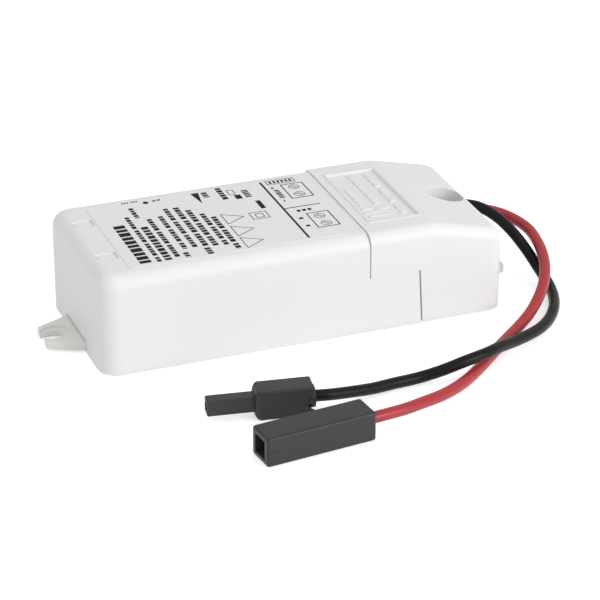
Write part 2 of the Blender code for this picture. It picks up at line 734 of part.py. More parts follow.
def chip(name, across_x, across_y, height, pins, material):
    """A moulded package as large as its room, with bent legs along its two Y sides."""
    x, y = middle(across_x), middle(across_y)
    length, edge = width(across_x), width(across_y) / 2 - CHIP_LEG_REACH
    body_low = STAND + CHIP_STANDOFF
    low, high = (x - length / 2, y - edge, body_low), (x + length / 2, y + edge, body_low + height)
    thing = box(name, low, high, material, chamfer=SEAT)
    thick, out = CHIP_LEG_THICKNESS, edge + CHIP_LEG_REACH
    knee = body_low + height / 2
    outline = [
        (edge - 2 * thick, knee - thick), (out - thick, knee - thick), (out - thick, LEG_FOOT),
        (out, LEG_FOOT), (out, knee), (edge - 2 * thick, knee),
    ]
    mesh = bmesh.new()
    for i in range(pins):
        leg_x = x + (i - (pins - 1) / 2) * length / pins
        for side in (-1, 1):
            place = at(leg_x, y) @ Matrix.Rotation(side * pi / 2, 4, "Z") @ across(LEG_RADIUS)
            add_prism(mesh, outline, place, 2 * LEG_RADIUS)
            board_holes.append((leg_x, y + side * (out - thick / 2)))
    return join(thing, piece(f"{name}_legs", mesh))


def choke(across_x, across_y):
    """A drum core with its winding as one ring between the flanges."""
    x, y = middle(across_x), middle(across_y)
    drum = min(width(across_x), width(across_y)) / 2
    waist = drum * 0.55
    top = STAND + TALLEST - 2 * HEADROOM
    low, high = STAND + CHOKE_FLANGE, top - CHOKE_FLANGE
    profile = [(drum, STAND), (drum, low), (waist, low), (waist, high), (drum, high), (drum, top)]
    core = turned("choke_core", profile, at(x, y), 24, FERRITE)
    with_legs(core, [(x - waist, y), (x + waist, y)], STAND + CHOKE_FLANGE / 2)
    inner, outer = waist + SEAT, drum - FIT
    ring = [(inner, low + SEAT), (outer, low + SEAT), (outer, high - SEAT), (inner, high - SEAT)]
    turned("choke_winding", ring, at(x, y), 24, COPPER, closed=True)


def film_capacitor(across_x, across_y):
    low = (across_x[0], across_y[0] + FILM_INSET, STAND)
    high = (across_x[1], across_y[1] - FILM_INSET, STAND + TALLEST - HEADROOM)
    body = box("film_capacitor", low, high, YELLOW, FIT)
    y = middle(across_y)
    with_legs(body, [(across_x[0] + LEG_INSET, y), (across_x[1] - LEG_INSET, y)], STAND + OVER)


def power_transistor(across_x, across_y):
    """A flat transistor that stands on its three legs."""
    x, y = middle(across_x), middle(across_y)
    half = TRANSISTOR_WIDTH / 2
    low = STAND + OVER
    body = box(
        "power_transistor",
        (x - TRANSISTOR_THICKNESS / 2, y - half, low),
        (x + TRANSISTOR_THICKNESS / 2, y + half, low + TRANSISTOR_HEIGHT),
        BLACK,
        SEAT,
    )
    with_legs(body, [(x, y + step * TRANSISTOR_PITCH) for step in (-1, 0, 1)], low + OVER)


def e_core(name, x, y, z, side, half, deep):
    """One E-shaped half of the transformer's core, whose legs point towards the other half."""
    leg = half * 0.28
    outline = [
        (-half, 0), (half, 0), (half, deep), (half - leg, deep), (half - leg, leg), (leg, leg),
        (leg, deep), (-leg, deep), (-leg, leg), (leg - half, leg), (leg - half, deep), (-half, deep),
    ]
    turn = Matrix.Rotation(0 if side < 0 else pi, 4, "Z")
    place = at(x, y + side * (deep + SEAT), z - CORE_THICKNESS / 2) @ turn
    return prism(name, outline, place, CORE_THICKNESS, FERRITE)


def transformer(across_x, across_y):
    """Two E cores round a bobbin that carries the winding and stands on two rows of pins."""
    x, y = middle(across_x), middle(across_y)
    half, deep = width(across_x) / 2, width(across_y) / 2 - SEAT
    leg = half * 0.28
    z = STAND + TALLEST / 2
    e_core("transformer_core_front", x, y, z, -1, half, deep)
    e_core("transformer_core_back", x, y, z, 1, half, deep)
    bore_x, bore_z = leg + FIT, CORE_THICKNESS / 2 + FIT
    tube_x, tube_z = bore_x + BOBBIN_WALL, bore_z + BOBBIN_WALL
    flange_x, flange_z = half - leg - FIT, TALLEST / 2 - PACKING
    spool = deep - leg - FIT
    low, high = (x - tube_x, y - spool, z - tube_z), (x + tube_x, y + spool, z + tube_z)
    bobbin = box("transformer_bobbin", low, high, CREAM)
    join(bobbin, boxes("bobbin_flanges", [
        ((x - flange_x, y + low, z - flange_z), (x + flange_x, y + low + BOBBIN_FLANGE, z + flange_z))
        for low in (-spool, spool - BOBBIN_FLANGE)
    ]))
    inside = spool - BOBBIN_FLANGE / 2
    join(bobbin, boxes("bobbin_feet", [
        (
            (x - flange_x - FIT, y + min(side * inside, side * (spool + BOBBIN_FOOT)), STAND),
            (x + flange_x + FIT, y + max(side * inside, side * (spool + BOBBIN_FOOT)), z - bore_z),
        )
        for side in (-1, 1)
    ]))
    cut(bobbin, box("bobbin_bore", (x - bore_x, y - deep, z - bore_z), (x + bore_x, y + deep, z + bore_z)))
    pins = [
        (x + step * flange_x / 2, y + side * (spool + BOBBIN_FOOT / 2))
        for side in (-1, 1)
        for step in (-1.5, -0.5, 0.5, 1.5)
    ]
    with_legs(bobbin, pins, STAND + OVER)
    long, gap_x, gap_z = spool - BOBBIN_FLANGE - SEAT, tube_x + SEAT, tube_z + SEAT
    wound_x, wound_z = flange_x - SEAT, flange_z - SEAT
    low, high = (x - wound_x, y - long, z - wound_z), (x + wound_x, y + long, z + wound_z)
    wound = box("transformer_winding", low, high, TAPE, BOBBIN_WALL)
    cut(wound, box("winding_bore", (x - gap_x, y - spool, z - gap_z), (x + gap_x, y + spool, z + gap_z)))


def board_parts():
    """The parts between the plain end and the partition, in five columns that each fill the board's width."""
    side = BOARD_BACK - RAIL_WIDTH - FIT
    inlet, switching, power, thin, output = shares(
        BOARD_LEFT + PACKING, PARTITION_LEFT - PACKING, 10.0, 8.0, 15.6, 4.0, 11.9
    )
    front, centre, back = shares(-side, side, 10.0, 8.2, 8.7)
    can("bulk_capacitor", inlet, front, SLEEVE)
    chip("bridge_rectifier", inlet, centre, CHIP_HEIGHT, 2, BLACK)
    chip("controller_chip", inlet, back, CHIP_HEIGHT, 4, BLACK)
    front, centre, back = shares(-side, side, 8.0, 10.0, 8.9)
    choke(switching, front)
    spare = (width(switching) - 2 * TRANSISTOR_THICKNESS) / 2
    lane = (switching[0] + spare, switching[1] - spare + 2 * AXIAL_INSET)
    axial("snubber_resistor", centre, lane, pi / 2, GREY)
    power_transistor(switching, back)
    front, back = shares(-side, side, 10.0, 17.6)
    film_capacitor(power, front)
    transformer(power, back)
    radius = width(front) / 2 - DISC_INSET
    disc("varistor", middle(thin), middle(front), radius, width(thin) - PACKING / 2, False, BLUE)
    lane = (thin[0] + AXIAL_INSET, thin[1] - AXIAL_INSET)
    axial("bleed_resistor", shares(*back, 4.0, 9.0, 4.0)[1], lane, pi / 2, TAN)
    front, low_row, high_row, back = shares(-side, side, 4.0, 8.3, 8.9, 5.0)
    axial("fuse_resistor", output, front, 0.0, GREY)
    left, right = shares(*output, 6.6, 4.6)
    disc("y_capacitor", middle(left), middle(low_row), width(left) / 2, width(low_row) * 0.42, True, BLUE)
    chip("optocoupler", right, low_row, CHIP_HEIGHT, 2, CREAM)
    can("output_capacitor", output, high_row, SLEEVE)
    axial("output_diode", output, back, 0.0, BLACK)


def terminals(prefix, side, body_finish):
    """A two-pole screw terminal: its body, and a clamp cage and screw for each pole."""
    x1, cage_x = TERMINAL_RIGHT, CAGE_X
    x0 = x1 - TERMINAL_LENGTH
    centre = side * TERMINAL_FROM_MIDDLE
    top = STAND + TERMINAL_HEIGHT
    outline = [(x0, STAND), (x1, STAND), (x1, top - TERMINAL_CHAMFER), (x1 - TERMINAL_CHAMFER, top), (x0, top)]
    back = across(centre + TERMINAL_PITCH)
    block = prism(f"{prefix}_terminal_block", outline, back, 2 * TERMINAL_PITCH, body_finish)
    cage_low = STAND + FIT
    cage_top = cage_low + CAGE_HEIGHT
    hole_low = LEAD_AXIS - CONDUCTOR_RADIUS - 2 * SEAT
    hole_high = cage_top - CAGE_WALL * 1.8
    poles = [centre - TERMINAL_PITCH / 2, centre + TERMINAL_PITCH / 2]
    half = CAGE_WIDTH / 2
    cut(block, boxes(f"{prefix}_pockets", [
        ((cage_x - FIT, y - half - FIT, STAND - OVER), (cage_x + CAGE_LENGTH + FIT, y + half + FIT, cage_top + FIT))
        for y in poles
    ]))
    entry = LEAD_DIAMETER / 2 + FIT
    cut(block, boxes(f"{prefix}_wire_entries", [
        ((cage_x + CAGE_LENGTH, y - entry, LEAD_AXIS - entry), (x1 + OVER, y + entry, LEAD_AXIS + entry))
        for y in poles
    ]))
    wells = bmesh.new()
    screw_x = cage_x + CAGE_LENGTH / 2
    for y in poles:
        well = TERMINAL_HEAD_RADIUS + FIT
        add_turned(wells, [(well, cage_top), (well, top + OVER)], at(screw_x, y), 16)
    cut(block, piece(f"{prefix}_screw_wells", wells))
    thread = TERMINAL_SCREW_RADIUS + SEAT
    thread_profile = [(thread, hole_high - SEAT), (thread, cage_top + OVER)]
    for number, y in enumerate(poles, 1):
        low, high = (cage_x, y - half, cage_low), (cage_x + CAGE_LENGTH, y + half, cage_top)
        cage = box(f"{prefix}_clamp_cage_{number}", low, high, BRASS, SEAT)
        low = (cage_x - OVER, y - half + CAGE_WALL, hole_low)
        high = (cage_x + CAGE_LENGTH + OVER, y + half - CAGE_WALL, hole_high)
        cut(cage, box(f"{prefix}_wire_hole_{number}", low, high))
        cut(cage, turned(f"{prefix}_thread_{number}", thread_profile, at(screw_x, y), 12))
        with_legs(cage, [(screw_x, y)], cage_low + CAGE_WALL)
        terminal_screw(f"{prefix}_terminal_screw_{number}", screw_x, y, cage_top + SEAT)


def terminal_screw(name, x, y, seat):
    """A slotted screw, wound down onto the wire in its cage."""
    tip = LEAD_AXIS + CONDUCTOR_RADIUS + SEAT
    head, top = TERMINAL_HEAD_RADIUS, seat + TERMINAL_HEAD_HEIGHT
    profile = [
        (TERMINAL_SCREW_RADIUS, tip), (TERMINAL_SCREW_RADIUS, seat), (head, seat),
        (head, top - SEAT), (head - SEAT, top),
    ]
    screw = turned(name, profile, at(x, y), 16, STEEL)
    slot = head * 0.18
    low, high = (x - head - SEAT, y - slot, top - head * 0.5), (x + head + SEAT, y + slot, top + OVER)
    return cut(screw, box(f"{name}_slot", low, high))


def smooth_curve(route):
    """Even points on a Catmull-Rom curve through a lead's route."""
    ends = [2 * Vector(route[0]) - Vector(route[1])], [2 * Vector(route[-1]) - Vector(route[-2])]
    points = ends[0] + [Vector(point) for point in route] + ends[1]
    fine = []
    for a, b, c, d in zip(points, points[1:], points[2:], points[3:]):
        for step in range(8):
            t = step / 8
            bend = (2 * a - 5 * b + 4 * c - d) * t**2 + (3 * b - a - 3 * c + d) * t**3
            fine.append(0.5 * (2 * b + (c - a) * t + bend))
    fine.append(points[-2])
    walked = [0.0]
    for a, b in zip(fine, fine[1:]):
        walked.append(walked[-1] + (b - a).length)
    count = round(walked[-1] / LEAD_POINT_SPACING)
    even, k = [], 0
    for i in range(count + 1):
        goal = walked[-1] * i / count
        while k < len(fine) - 2 and walked[k + 1] < goal:
            k += 1
        even.append(fine[k].lerp(fine[k + 1], (goal - walked[k]) / (walked[k + 1] - walked[k])))
    return even


def lead(name, route, material):
    """An insulated lead: a round tube along its route, closed at both ends."""
    points = smooth_curve(route)
    data = bpy.data.curves.new(name, "CURVE")
    data.dimensions = "3D"
    data.bevel_depth = LEAD_DIAMETER / 2
    data.bevel_resolution = 2
    data.use_fill_caps = True
    spline = data.splines.new("POLY")
    spline.points.add(len(points) - 1)
    for held, point in zip(spline.points, points):
        held.co = (*point, 1.0)
    data.materials.append(material)
    thing = bpy.data.objects.new(name, data)
    bpy.context.collection.objects.link(thing)
    return thing


def conductor(name, start):
    """The tinned end of a lead, from its insulation into the clamp cage."""
    x, y, z = start
    depth = x - CAGE_X - CAGE_WALL
    profile = [(CONDUCTOR_RADIUS, FIT), (CONDUCTOR_RADIUS, depth)]
    place = at(x, y, z) @ Matrix.Rotation(radians(-90), 4, "Y")
    return turned(name, profile, place, 12, STEEL)


def section(x, half_width, half_height, chamfer):
    """A chamfered section of a connector, across its own X axis."""
    w, h = half_width - chamfer, half_height - chamfer
    corners = [
        (half_width, -h), (half_width, h), (w, half_height), (-w, half_height),
        (-half_width, h), (-half_width, -h), (-w, -half_height), (w, -half_height),
    ]
    return [Vector((x, y, z + CONNECTOR_AXIS)) for y, z in corners]


def placed(thing, place, turn):
    thing.location = (*place, 0.0)
    thing.rotation_euler.z = turn
    return thing


def contact(name, profile, place, turn, closed=False):
    thing = turned(name, profile, along_x(0, 0, CONNECTOR_AXIS), 16, BRASS, closed)
    return placed(thing, place, turn)


def lead_mouth(length):
    """The end of a connector's bore: straight, then flared where the lead goes in."""
    flare = CONNECTOR_CHAMFER
    return [(BORE_RADIUS, length - flare), (BORE_RADIUS + flare, length), (BORE_RADIUS + flare, length + OVER)]


def socket_connector():
    """The red lead's connector: a square housing open at its front round a contact pin."""
    wide, high, edge = SOCKET_WIDTH / 2, CONNECTOR_SIZE / 2, CONNECTOR_CHAMFER
    mesh = bmesh.new()
    add_rings(mesh, [
        section(0, wide - edge * 0.75, high - edge * 0.75, edge),
        section(edge, wide, high, edge),
        section(SOCKET_LENGTH - edge * 2, wide, high, edge),
        section(SOCKET_LENGTH - edge * 0.6, wide - edge * 0.5, high - edge * 0.5, edge * 1.25),
        section(SOCKET_LENGTH, wide - edge * 1.3, high - edge * 1.3, edge * 1.25),
    ])
    housing = placed(piece("socket_connector_housing", mesh, CONNECTOR), SOCKET_PLACE, SOCKET_TURN)
    opening = SOCKET_OPENING / 2
    cut(housing, placed(box(
        "socket_opening",
        (-OVER, -opening, CONNECTOR_AXIS - opening),
        (SOCKET_DEPTH, opening, CONNECTOR_AXIS + opening),
    ), SOCKET_PLACE, SOCKET_TURN))
    bore = [(BORE_RADIUS, SOCKET_DEPTH - OVER), *lead_mouth(SOCKET_LENGTH)]
    cut(housing, placed(turned("socket_bore", bore, along_x(0, 0, CONNECTOR_AXIS), 20), SOCKET_PLACE, SOCKET_TURN))
    pin_tip, barrel_start = SOCKET_DEPTH * 0.25, SOCKET_DEPTH + FIT
    barrel_end = SOCKET_LENGTH - LEAD_INSERTION - FIT
    contact("socket_contact_pin", [
        (CONTACT_RADIUS * 0.5, pin_tip), (CONTACT_RADIUS, pin_tip + CONTACT_RADIUS), (CONTACT_RADIUS, barrel_start),
        (CONTACT_BARREL, barrel_start), (CONTACT_BARREL, barrel_end),
    ], SOCKET_PLACE, SOCKET_TURN)


def plug_connector():
    """The black lead's connector: a slim nose on a wider body, round a contact sleeve."""
    wide, high, edge = PLUG_WIDTH / 2, CONNECTOR_SIZE / 2, CONNECTOR_CHAMFER
    slim, nose = NOSE_WIDTH / 2, NOSE_SIZE / 2
    mesh = bmesh.new()
    add_rings(mesh, [
        section(0, slim - edge * 0.5, nose - edge * 0.75, edge * 0.75),
        section(edge * 1.5, slim, nose, edge),
        section(NOSE_LENGTH, slim + edge * 0.25, nose + edge * 0.25, edge),
        section(NOSE_LENGTH + edge * 3, wide, high, edge * 1.25),
        section(PLUG_LENGTH - edge * 2.5, wide, high, edge * 1.25),
        section(PLUG_LENGTH, wide - edge * 0.6, high - edge * 0.6, edge * 1.25),
    ])
    housing = placed(piece("plug_connector_housing", mesh, CONNECTOR), PLUG_PLACE, PLUG_TURN)
    chamber = CONTACT_BARREL + FIT / 2
    start, step = PLUG_THROAT, NOSE_LENGTH + 2 * PLUG_THROAT
    bore = [
        (CONTACT_RADIUS + FIT, -OVER), (CONTACT_RADIUS + FIT, start), (chamber, start), (chamber, step),
        (BORE_RADIUS, step), *lead_mouth(PLUG_LENGTH),
    ]
    cut(housing, placed(turned("plug_bore", bore, along_x(0, 0, CONNECTOR_AXIS), 20), PLUG_PLACE, PLUG_TURN))
    inner, outer = CONTACT_RADIUS + SEAT / 2, CONTACT_BARREL
    sleeve_start, sleeve_end = start + FIT, NOSE_LENGTH
    barrel_end = PLUG_LENGTH - LEAD_INSERTION - FIT
    # The profile goes up the outside, across the crimped end and back down the blind hole
    mesh = bmesh.new()
    place = along_x(0, 0, CONNECTOR_AXIS)
    profile = [
        (inner * 0.3, sleeve_end), (inner, sleeve_end), (inner, sleeve_start),
        (outer, sleeve_start), (outer, barrel_end), (inner * 0.3, barrel_end),
    ]
    add_turned(mesh, profile, place, 16)
    sleeve = rounded(piece("plug_contact_sleeve", mesh, BRASS))
    placed(sleeve, PLUG_PLACE, PLUG_TURN)


for old in list(bpy.data.objects):
    bpy.data.objects.remove(old, do_unlink=True)

WHITE = finish("white_case_plastic", (0.86, 0.86, 0.85), 0.42)
WARM_WHITE = finish("warm_white_plastic", (0.80, 0.79, 0.76), 0.45)
FILM = finish("label_film", (0.84, 0.84, 0.84), 0.5)
STEEL = finish("plated_steel", (0.62, 0.62, 0.60), 0.32, 1.0)
BRASS = finish("tinned_brass", (0.72, 0.66, 0.50), 0.3, 1.0)
FR4 = finish("green_board", (0.05, 0.24, 0.10), 0.45)
SLEEVE = finish("capacitor_sleeve", (0.03, 0.04, 0.06), 0.35)
FERRITE = finish("ferrite", (0.07, 0.07, 0.075), 0.6)
COPPER = finish("enamelled_copper", (0.55, 0.22, 0.08), 0.3, 1.0)
YELLOW = finish("yellow_capacitor_case", (0.75, 0.52, 0.05), 0.5)
BLUE = finish("blue_coating", (0.05, 0.17, 0.45), 0.4)
GREY = finish("grey_resistor_coating", (0.35, 0.37, 0.38), 0.5)
TAN = finish("tan_resistor_coating", (0.62, 0.45, 0.26), 0.45)
BLACK = finish("black_moulding", (0.02, 0.02, 0.02), 0.5)
CREAM = finish("cream_moulding", (0.78, 0.74, 0.62), 0.5)
TAPE = finish("yellow_tape", (0.80, 0.60, 0.06), 0.35)
TERMINAL = finish("green_terminal_plastic", (0.05, 0.30, 0.16), 0.4)
CONNECTOR = finish("dark_grey_connector", (0.055, 0.055, 0.055), 0.5)
RED = finish("red_insulation", (0.60, 0.03, 0.04), 0.35)
BLACK_WIRE = finish("black_insulation", (0.015, 0.015, 0.014), 0.35)

housing_shell()
base_plate()
terminal_cover()
cover_screw()
rating_label()
board_parts()
terminals("input", -1, TERMINAL)
terminals("output", 1, TERMINAL)
circuit_board()
lead("black_lead", BLACK_ROUTE, BLACK_WIRE)
lead("red_lead", RED_ROUTE, RED)
conductor("black_lead_conductor", BLACK_ROUTE[0])
conductor("red_lead_conductor", RED_ROUTE[0])
socket_connector()
plug_connector()
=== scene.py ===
import math
from math import radians

import bpy
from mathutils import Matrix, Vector


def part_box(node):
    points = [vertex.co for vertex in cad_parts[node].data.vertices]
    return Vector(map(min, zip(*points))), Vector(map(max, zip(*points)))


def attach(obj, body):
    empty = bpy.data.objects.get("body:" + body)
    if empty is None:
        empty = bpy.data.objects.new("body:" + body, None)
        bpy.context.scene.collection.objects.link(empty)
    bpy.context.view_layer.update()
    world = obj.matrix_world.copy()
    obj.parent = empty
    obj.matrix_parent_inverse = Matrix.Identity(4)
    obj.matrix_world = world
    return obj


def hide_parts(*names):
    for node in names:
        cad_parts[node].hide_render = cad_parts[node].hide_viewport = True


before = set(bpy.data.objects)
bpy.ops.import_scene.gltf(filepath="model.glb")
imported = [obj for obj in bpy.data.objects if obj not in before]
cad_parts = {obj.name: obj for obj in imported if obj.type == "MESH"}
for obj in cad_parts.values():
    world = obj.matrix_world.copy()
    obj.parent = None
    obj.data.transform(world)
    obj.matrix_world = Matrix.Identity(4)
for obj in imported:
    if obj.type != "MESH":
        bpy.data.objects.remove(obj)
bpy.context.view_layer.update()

MM = 0.001
scene = bpy.context.scene

# The view: the photograph was taken with a long lens from in front of the driver, to the left of its
# middle and above it, so that its front, its top and its plain end all show.
PITCH = -26.487
YAW = -20.888
LENS = 158.99
SENSOR = 36.0
camera = bpy.data.objects.new("camera", bpy.data.cameras.new("camera"))
scene.collection.objects.link(camera)
camera.location = (-0.17497, -0.47276, 0.25223)
camera.rotation_euler = (radians(90 + PITCH), 0.0, radians(YAW))
camera.data.lens = LENS
camera.data.sensor_width = SENSOR
scene.camera = camera
scene.view_settings.view_transform = "Standard"


# The two output leads: stranded wire in soft extruded PVC, one black and one red, each 2.4 mm thick. They are
# clamped in the output terminal, leave by the cable entry and lie in a loose loop in front of the driver.
LEAD_DIAMETER = 2.4 * MM
BLACK_ROUTE = [
    (0.0306, 0.00875, 0.0092), (0.0355, 0.0087, 0.0097), (0.0403, 0.0096, 0.0108),
    (0.0451, 0.0097, 0.0118), (0.0494, 0.0070, 0.0120), (0.0519, 0.0022, 0.0112),
    (0.0537, -0.0024, 0.0093), (0.0556, -0.0058, 0.0062), (0.0568, -0.0099, 0.0032),
    (0.0569, -0.0153, 0.0015), (0.0553, -0.0207, 0.0013), (0.0530, -0.0253, 0.0013),
    (0.0499, -0.0294, 0.0013), (0.0462, -0.0329, 0.0016), (0.0420, -0.0358, 0.0021),
    (0.0376, -0.0385, 0.0028), (0.0333, -0.0413, 0.0038), (0.0289, -0.0438, 0.0043),
    (0.0240, -0.0447, 0.0039), (0.0191, -0.0441, 0.0024), (0.0142, -0.0434, 0.0013),
    (0.0090, -0.0438, 0.0013), (0.0040, -0.0448, 0.0016), (-0.0009, -0.0458, 0.0023),
    (-0.0060, -0.0465, 0.0030), (-0.0110, -0.0457, 0.00315),
]
RED_ROUTE = [
    (0.0306, 0.01375, 0.0092), (0.0357, 0.0136, 0.0092), (0.0407, 0.0140, 0.0093),
    (0.0458, 0.0138, 0.0094), (0.0506, 0.0112, 0.0095), (0.0545, 0.0080, 0.0094),
    (0.0570, 0.0036, 0.0091), (0.0582, -0.0014, 0.0086), (0.0580, -0.0067, 0.0077),
    (0.0569, -0.0118, 0.0067), (0.0551, -0.0164, 0.0056), (0.0527, -0.0204, 0.0044),
    (0.0498, -0.0239, 0.0033), (0.0464, -0.0273, 0.0023), (0.0425, -0.0305, 0.0016),
    (0.0386, -0.0337, 0.0013), (0.0348, -0.0371, 0.0013), (0.0311, -0.0406, 0.0013),
    (0.0274, -0.0440, 0.0013), (0.0235, -0.0473, 0.0013), (0.0194, -0.0503, 0.0015),
    (0.0151, -0.0529, 0.0019), (0.0105, -0.0550, 0.0024), (0.0058, -0.0569, 0.0028),
    (0.0008, -0.0581, 0.0031), (-0.0042, -0.0588, 0.00315),
]


class Signal:
    """One output in a material's node tree. An expression on it adds the Math nodes that it needs."""

    def __init__(self, tree, output):
        self.tree = tree
        self.output = output

    def node(self, kind, settings, sockets, output=0):
        """Adds any other node: its settings first, then the values or links of its sockets."""
        made = self.tree.nodes.new(kind)
        for name, value in settings.items():
            if name == "stops":
                while len(made.color_ramp.elements) < len(value):
                    made.color_ramp.elements.new(1.0)
                for element, (position, colour) in zip(made.color_ramp.elements, value):
                    element.position = position
                    element.color = (*colour, 1.0)
            else:
                setattr(made, name, value)
        for key, value in sockets.items():
            if isinstance(value, Signal):
                self.tree.links.new(value.output, made.inputs[key])
            else:
                made.inputs[key].default_value = value
        return Signal(self.tree, made.outputs[output])

    def maths(self, operation, *values):
        return self.node("ShaderNodeMath", {"operation": operation}, dict(enumerate(values)))

    def __add__(self, other):
        return self.maths("ADD", self, other)

    def __sub__(self, other):
        return self.maths("SUBTRACT", self, other)

    def __rsub__(self, other):
        return self.maths("SUBTRACT", other, self)

    def __mul__(self, other):
        return self.maths("MULTIPLY", self, other)

    __radd__ = __add__
    __rmul__ = __mul__

    def noise(self, place, size, detail=2.0):
        """Even noise from 0 to 1 whose lumps are about as large as the given size in metres."""
        sockets = {"Vector": place, "Scale": 1.0 / size, "Detail": detail}
        return self.node("ShaderNodeTexNoise", {}, sockets)

    def between(self, mask, low, high):
        """A colour that goes from low to high with a mask. Each end is a colour or a signal."""
        ends = [end if isinstance(end, Signal) else (*end, 1.0) for end in (low, high)]
        sockets = {0: mask, 6: ends[0], 7: ends[1]}
        return self.node("ShaderNodeMix", {"data_type": "RGBA"}, sockets, output=2)


def finish(name, **constants):
    """A new material: returns it, its shader and the piece's own Object coordinates."""
    material = bpy.data.materials.new(name)
    material.use_nodes = True
    tree = material.node_tree
    shader = tree.nodes["Principled BSDF"]
    for socket, value in constants.items():
        shader.inputs[socket.replace("_", " ")].default_value = value
    place = Signal(tree, tree.nodes.new("ShaderNodeTexCoord").outputs["Object"])
    return material, shader, place


def feed(shader, socket, signal):
    signal.tree.links.new(signal.output, shader.inputs[socket])


def bump(shader, height, depth):
    """Feeds the shader's normal from a height of 0 to 1 that stands for a depth in metres."""
    made = height.node("ShaderNodeBump", {}, {"Height": height, "Distance": depth, "Strength": 1.0})
    feed(shader, "Normal", made)


def insulation(name, colour, worn, gloss):
    """Soft PVC: a satin skin with the faint ripple of the strands below it, and a little dust."""
    material, shader, place = finish(name, IOR=1.5, Specular_IOR_Level=gloss)
    ripple = place.noise(place, 0.9 * MM, 3.0)
    dust = place.noise(place, 5.0 * MM, 4.0)
    feed(shader, "Base Color", place.between(dust * 0.55, colour, worn))
    feed(shader, "Roughness", 0.28 + dust * 0.2)
    bump(shader, ripple, 0.05 * MM)
    return material


def lead(name, route, material):
    """A round lead on one smooth curve through its route's points."""
    data = bpy.data.curves.new(name, "CURVE")
    data.dimensions = "3D"
    data.bevel_depth = LEAD_DIAMETER / 2
    data.bevel_resolution = 6
    data.resolution_u = 8
    data.use_fill_caps = True
    spline = data.splines.new("BEZIER")
    spline.bezier_points.add(len(route) - 1)
    points = [Vector(point) for point in route]
    ends = [2 * points[0] - points[1]], [2 * points[-1] - points[-2]]
    along = ends[0] + points + ends[1]
    for held, before, point, after in zip(spline.bezier_points, along, along[1:], along[2:]):
        held.handle_left_type = held.handle_right_type = "FREE"
        held.co = point
        held.handle_left = point - (after - before) / 6
        held.handle_right = point + (after - before) / 6
    data.materials.append(material)
    thing = bpy.data.objects.new(name, data)
    scene.collection.objects.link(thing)
    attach(thing, "root")
    return thing


black_skin = insulation("black_pvc", (0.004, 0.004, 0.004), (0.010, 0.010, 0.009), 0.2)
black = lead("black_output_lead", BLACK_ROUTE, black_skin)
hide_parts("black_lead")
red_skin = insulation("red_pvc", (0.38, 0.018, 0.027), (0.44, 0.034, 0.043), 0.5)
red = lead("red_output_lead", RED_ROUTE, red_skin)
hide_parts("red_lead")


# The main case: one white injection-moulded PC hood with well rounded edges, open below and towards the
# terminals. Two shallow windows in its roof show the snap fingers that hold the board's frame.
WALL = 1.8 * MM
CORNER_RADIUS = 4.2 * MM
EDGE_RADIUS = 3.0 * MM
SEAM = 0.1 * MM
SKIRT_GAP = 0.25 * MM
SKIRT_LEAN = 0.055
FIT = 0.3 * MM
OVER = 1.0 * MM
NEAR = 1e-6
CRISP = 0.09 * MM
SKIRT_TOP = 12.36 * MM
PARTITION = (12.5 * MM, 14.5 * MM)
BOARD_TOP = 6.1 * MM
WINDOW_SIZE = (4.2 * MM, 3.0 * MM)
WINDOW_DEPTH = 0.4 * MM
WINDOW_TO_END = 2.6 * MM
WINDOW_SPREAD = 16.6 * MM
SNAP_SIZE = (3.4 * MM, 0.9 * MM)
case_low, case_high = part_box("housing_shell")
cover_low, cover_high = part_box("terminal_cover")
base_low, base_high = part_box("base_plate")


def pick(thing=None):
    """Leaves only one object selected and active, or none."""
    bpy.ops.object.select_all(action="DESELECT")
    if thing:
        thing.select_set(True)
        bpy.context.view_layer.objects.active = thing


def block(name, low, high):
    """A cube primitive at its size and place, left selected and active."""
    pick()
    low, high = Vector(low), Vector(high)
    bpy.ops.mesh.primitive_cube_add(size=1.0, location=(low + high) / 2, scale=high - low)
    thing = bpy.context.object
    thing.name = thing.data.name = name
    bpy.ops.object.transform_apply(location=True, rotation=False, scale=True)
    return thing


def rod(name, radius, low, high, sides=48):
    """A cylinder primitive between two points."""
    pick()
    low, high = Vector(low), Vector(high)
    bpy.ops.mesh.primitive_cylinder_add(
        vertices=sides, radius=radius, depth=(high - low).length, location=(low + high) / 2,
        rotation=(high - low).to_track_quat("Z", "Y").to_euler(),
    )
    thing = bpy.context.object
    thing.name = thing.data.name = name
    bpy.ops.object.transform_apply(location=True, rotation=True, scale=True)
    return thing


def edit(thing, chosen_edge=None, chosen_face=None):
    """Opens edit mode with the edges or faces selected that a test on their places picks out."""
    if bpy.context.object and bpy.context.object.mode == "EDIT":
        bpy.ops.object.mode_set(mode="OBJECT")
    pick(thing)
    mesh = thing.data
    bpy.context.tool_settings.mesh_select_mode = (False, chosen_edge is not None, chosen_face is not None)
    for part in (mesh.vertices, mesh.edges, mesh.polygons):
        part.foreach_set("select", [False] * len(part))
    if chosen_edge:
        for edge in mesh.edges:
            a, b = (mesh.vertices[i].co for i in edge.vertices)
            edge.select = chosen_edge(a, b)
    if chosen_face:
        for face in mesh.polygons:
            face.select = chosen_face(face.center, face.normal)
    bpy.ops.object.mode_set(mode="EDIT")


def done():
    bpy.ops.object.mode_set(mode="OBJECT")


def apply(thing, kind, **settings):
    """Adds a modifier and applies it at once."""
    modifier = thing.modifiers.new(kind.lower(), kind)
    for name, value in settings.items():
        setattr(modifier, name, value)
    with bpy.context.temp_override(object=thing, active_object=thing, selected_objects=[thing]):
        bpy.ops.object.modifier_apply(modifier=modifier.name)
    return thing


def carve(thing, *cutters, operation="DIFFERENCE"):
    """Cuts or joins solids one after the other, and clears the tools away."""
    for cutter in cutters:
        apply(thing, "BOOLEAN", object=cutter, operation=operation, solver="EXACT")
        bpy.data.objects.remove(cutter, do_unlink=True)
    return thing


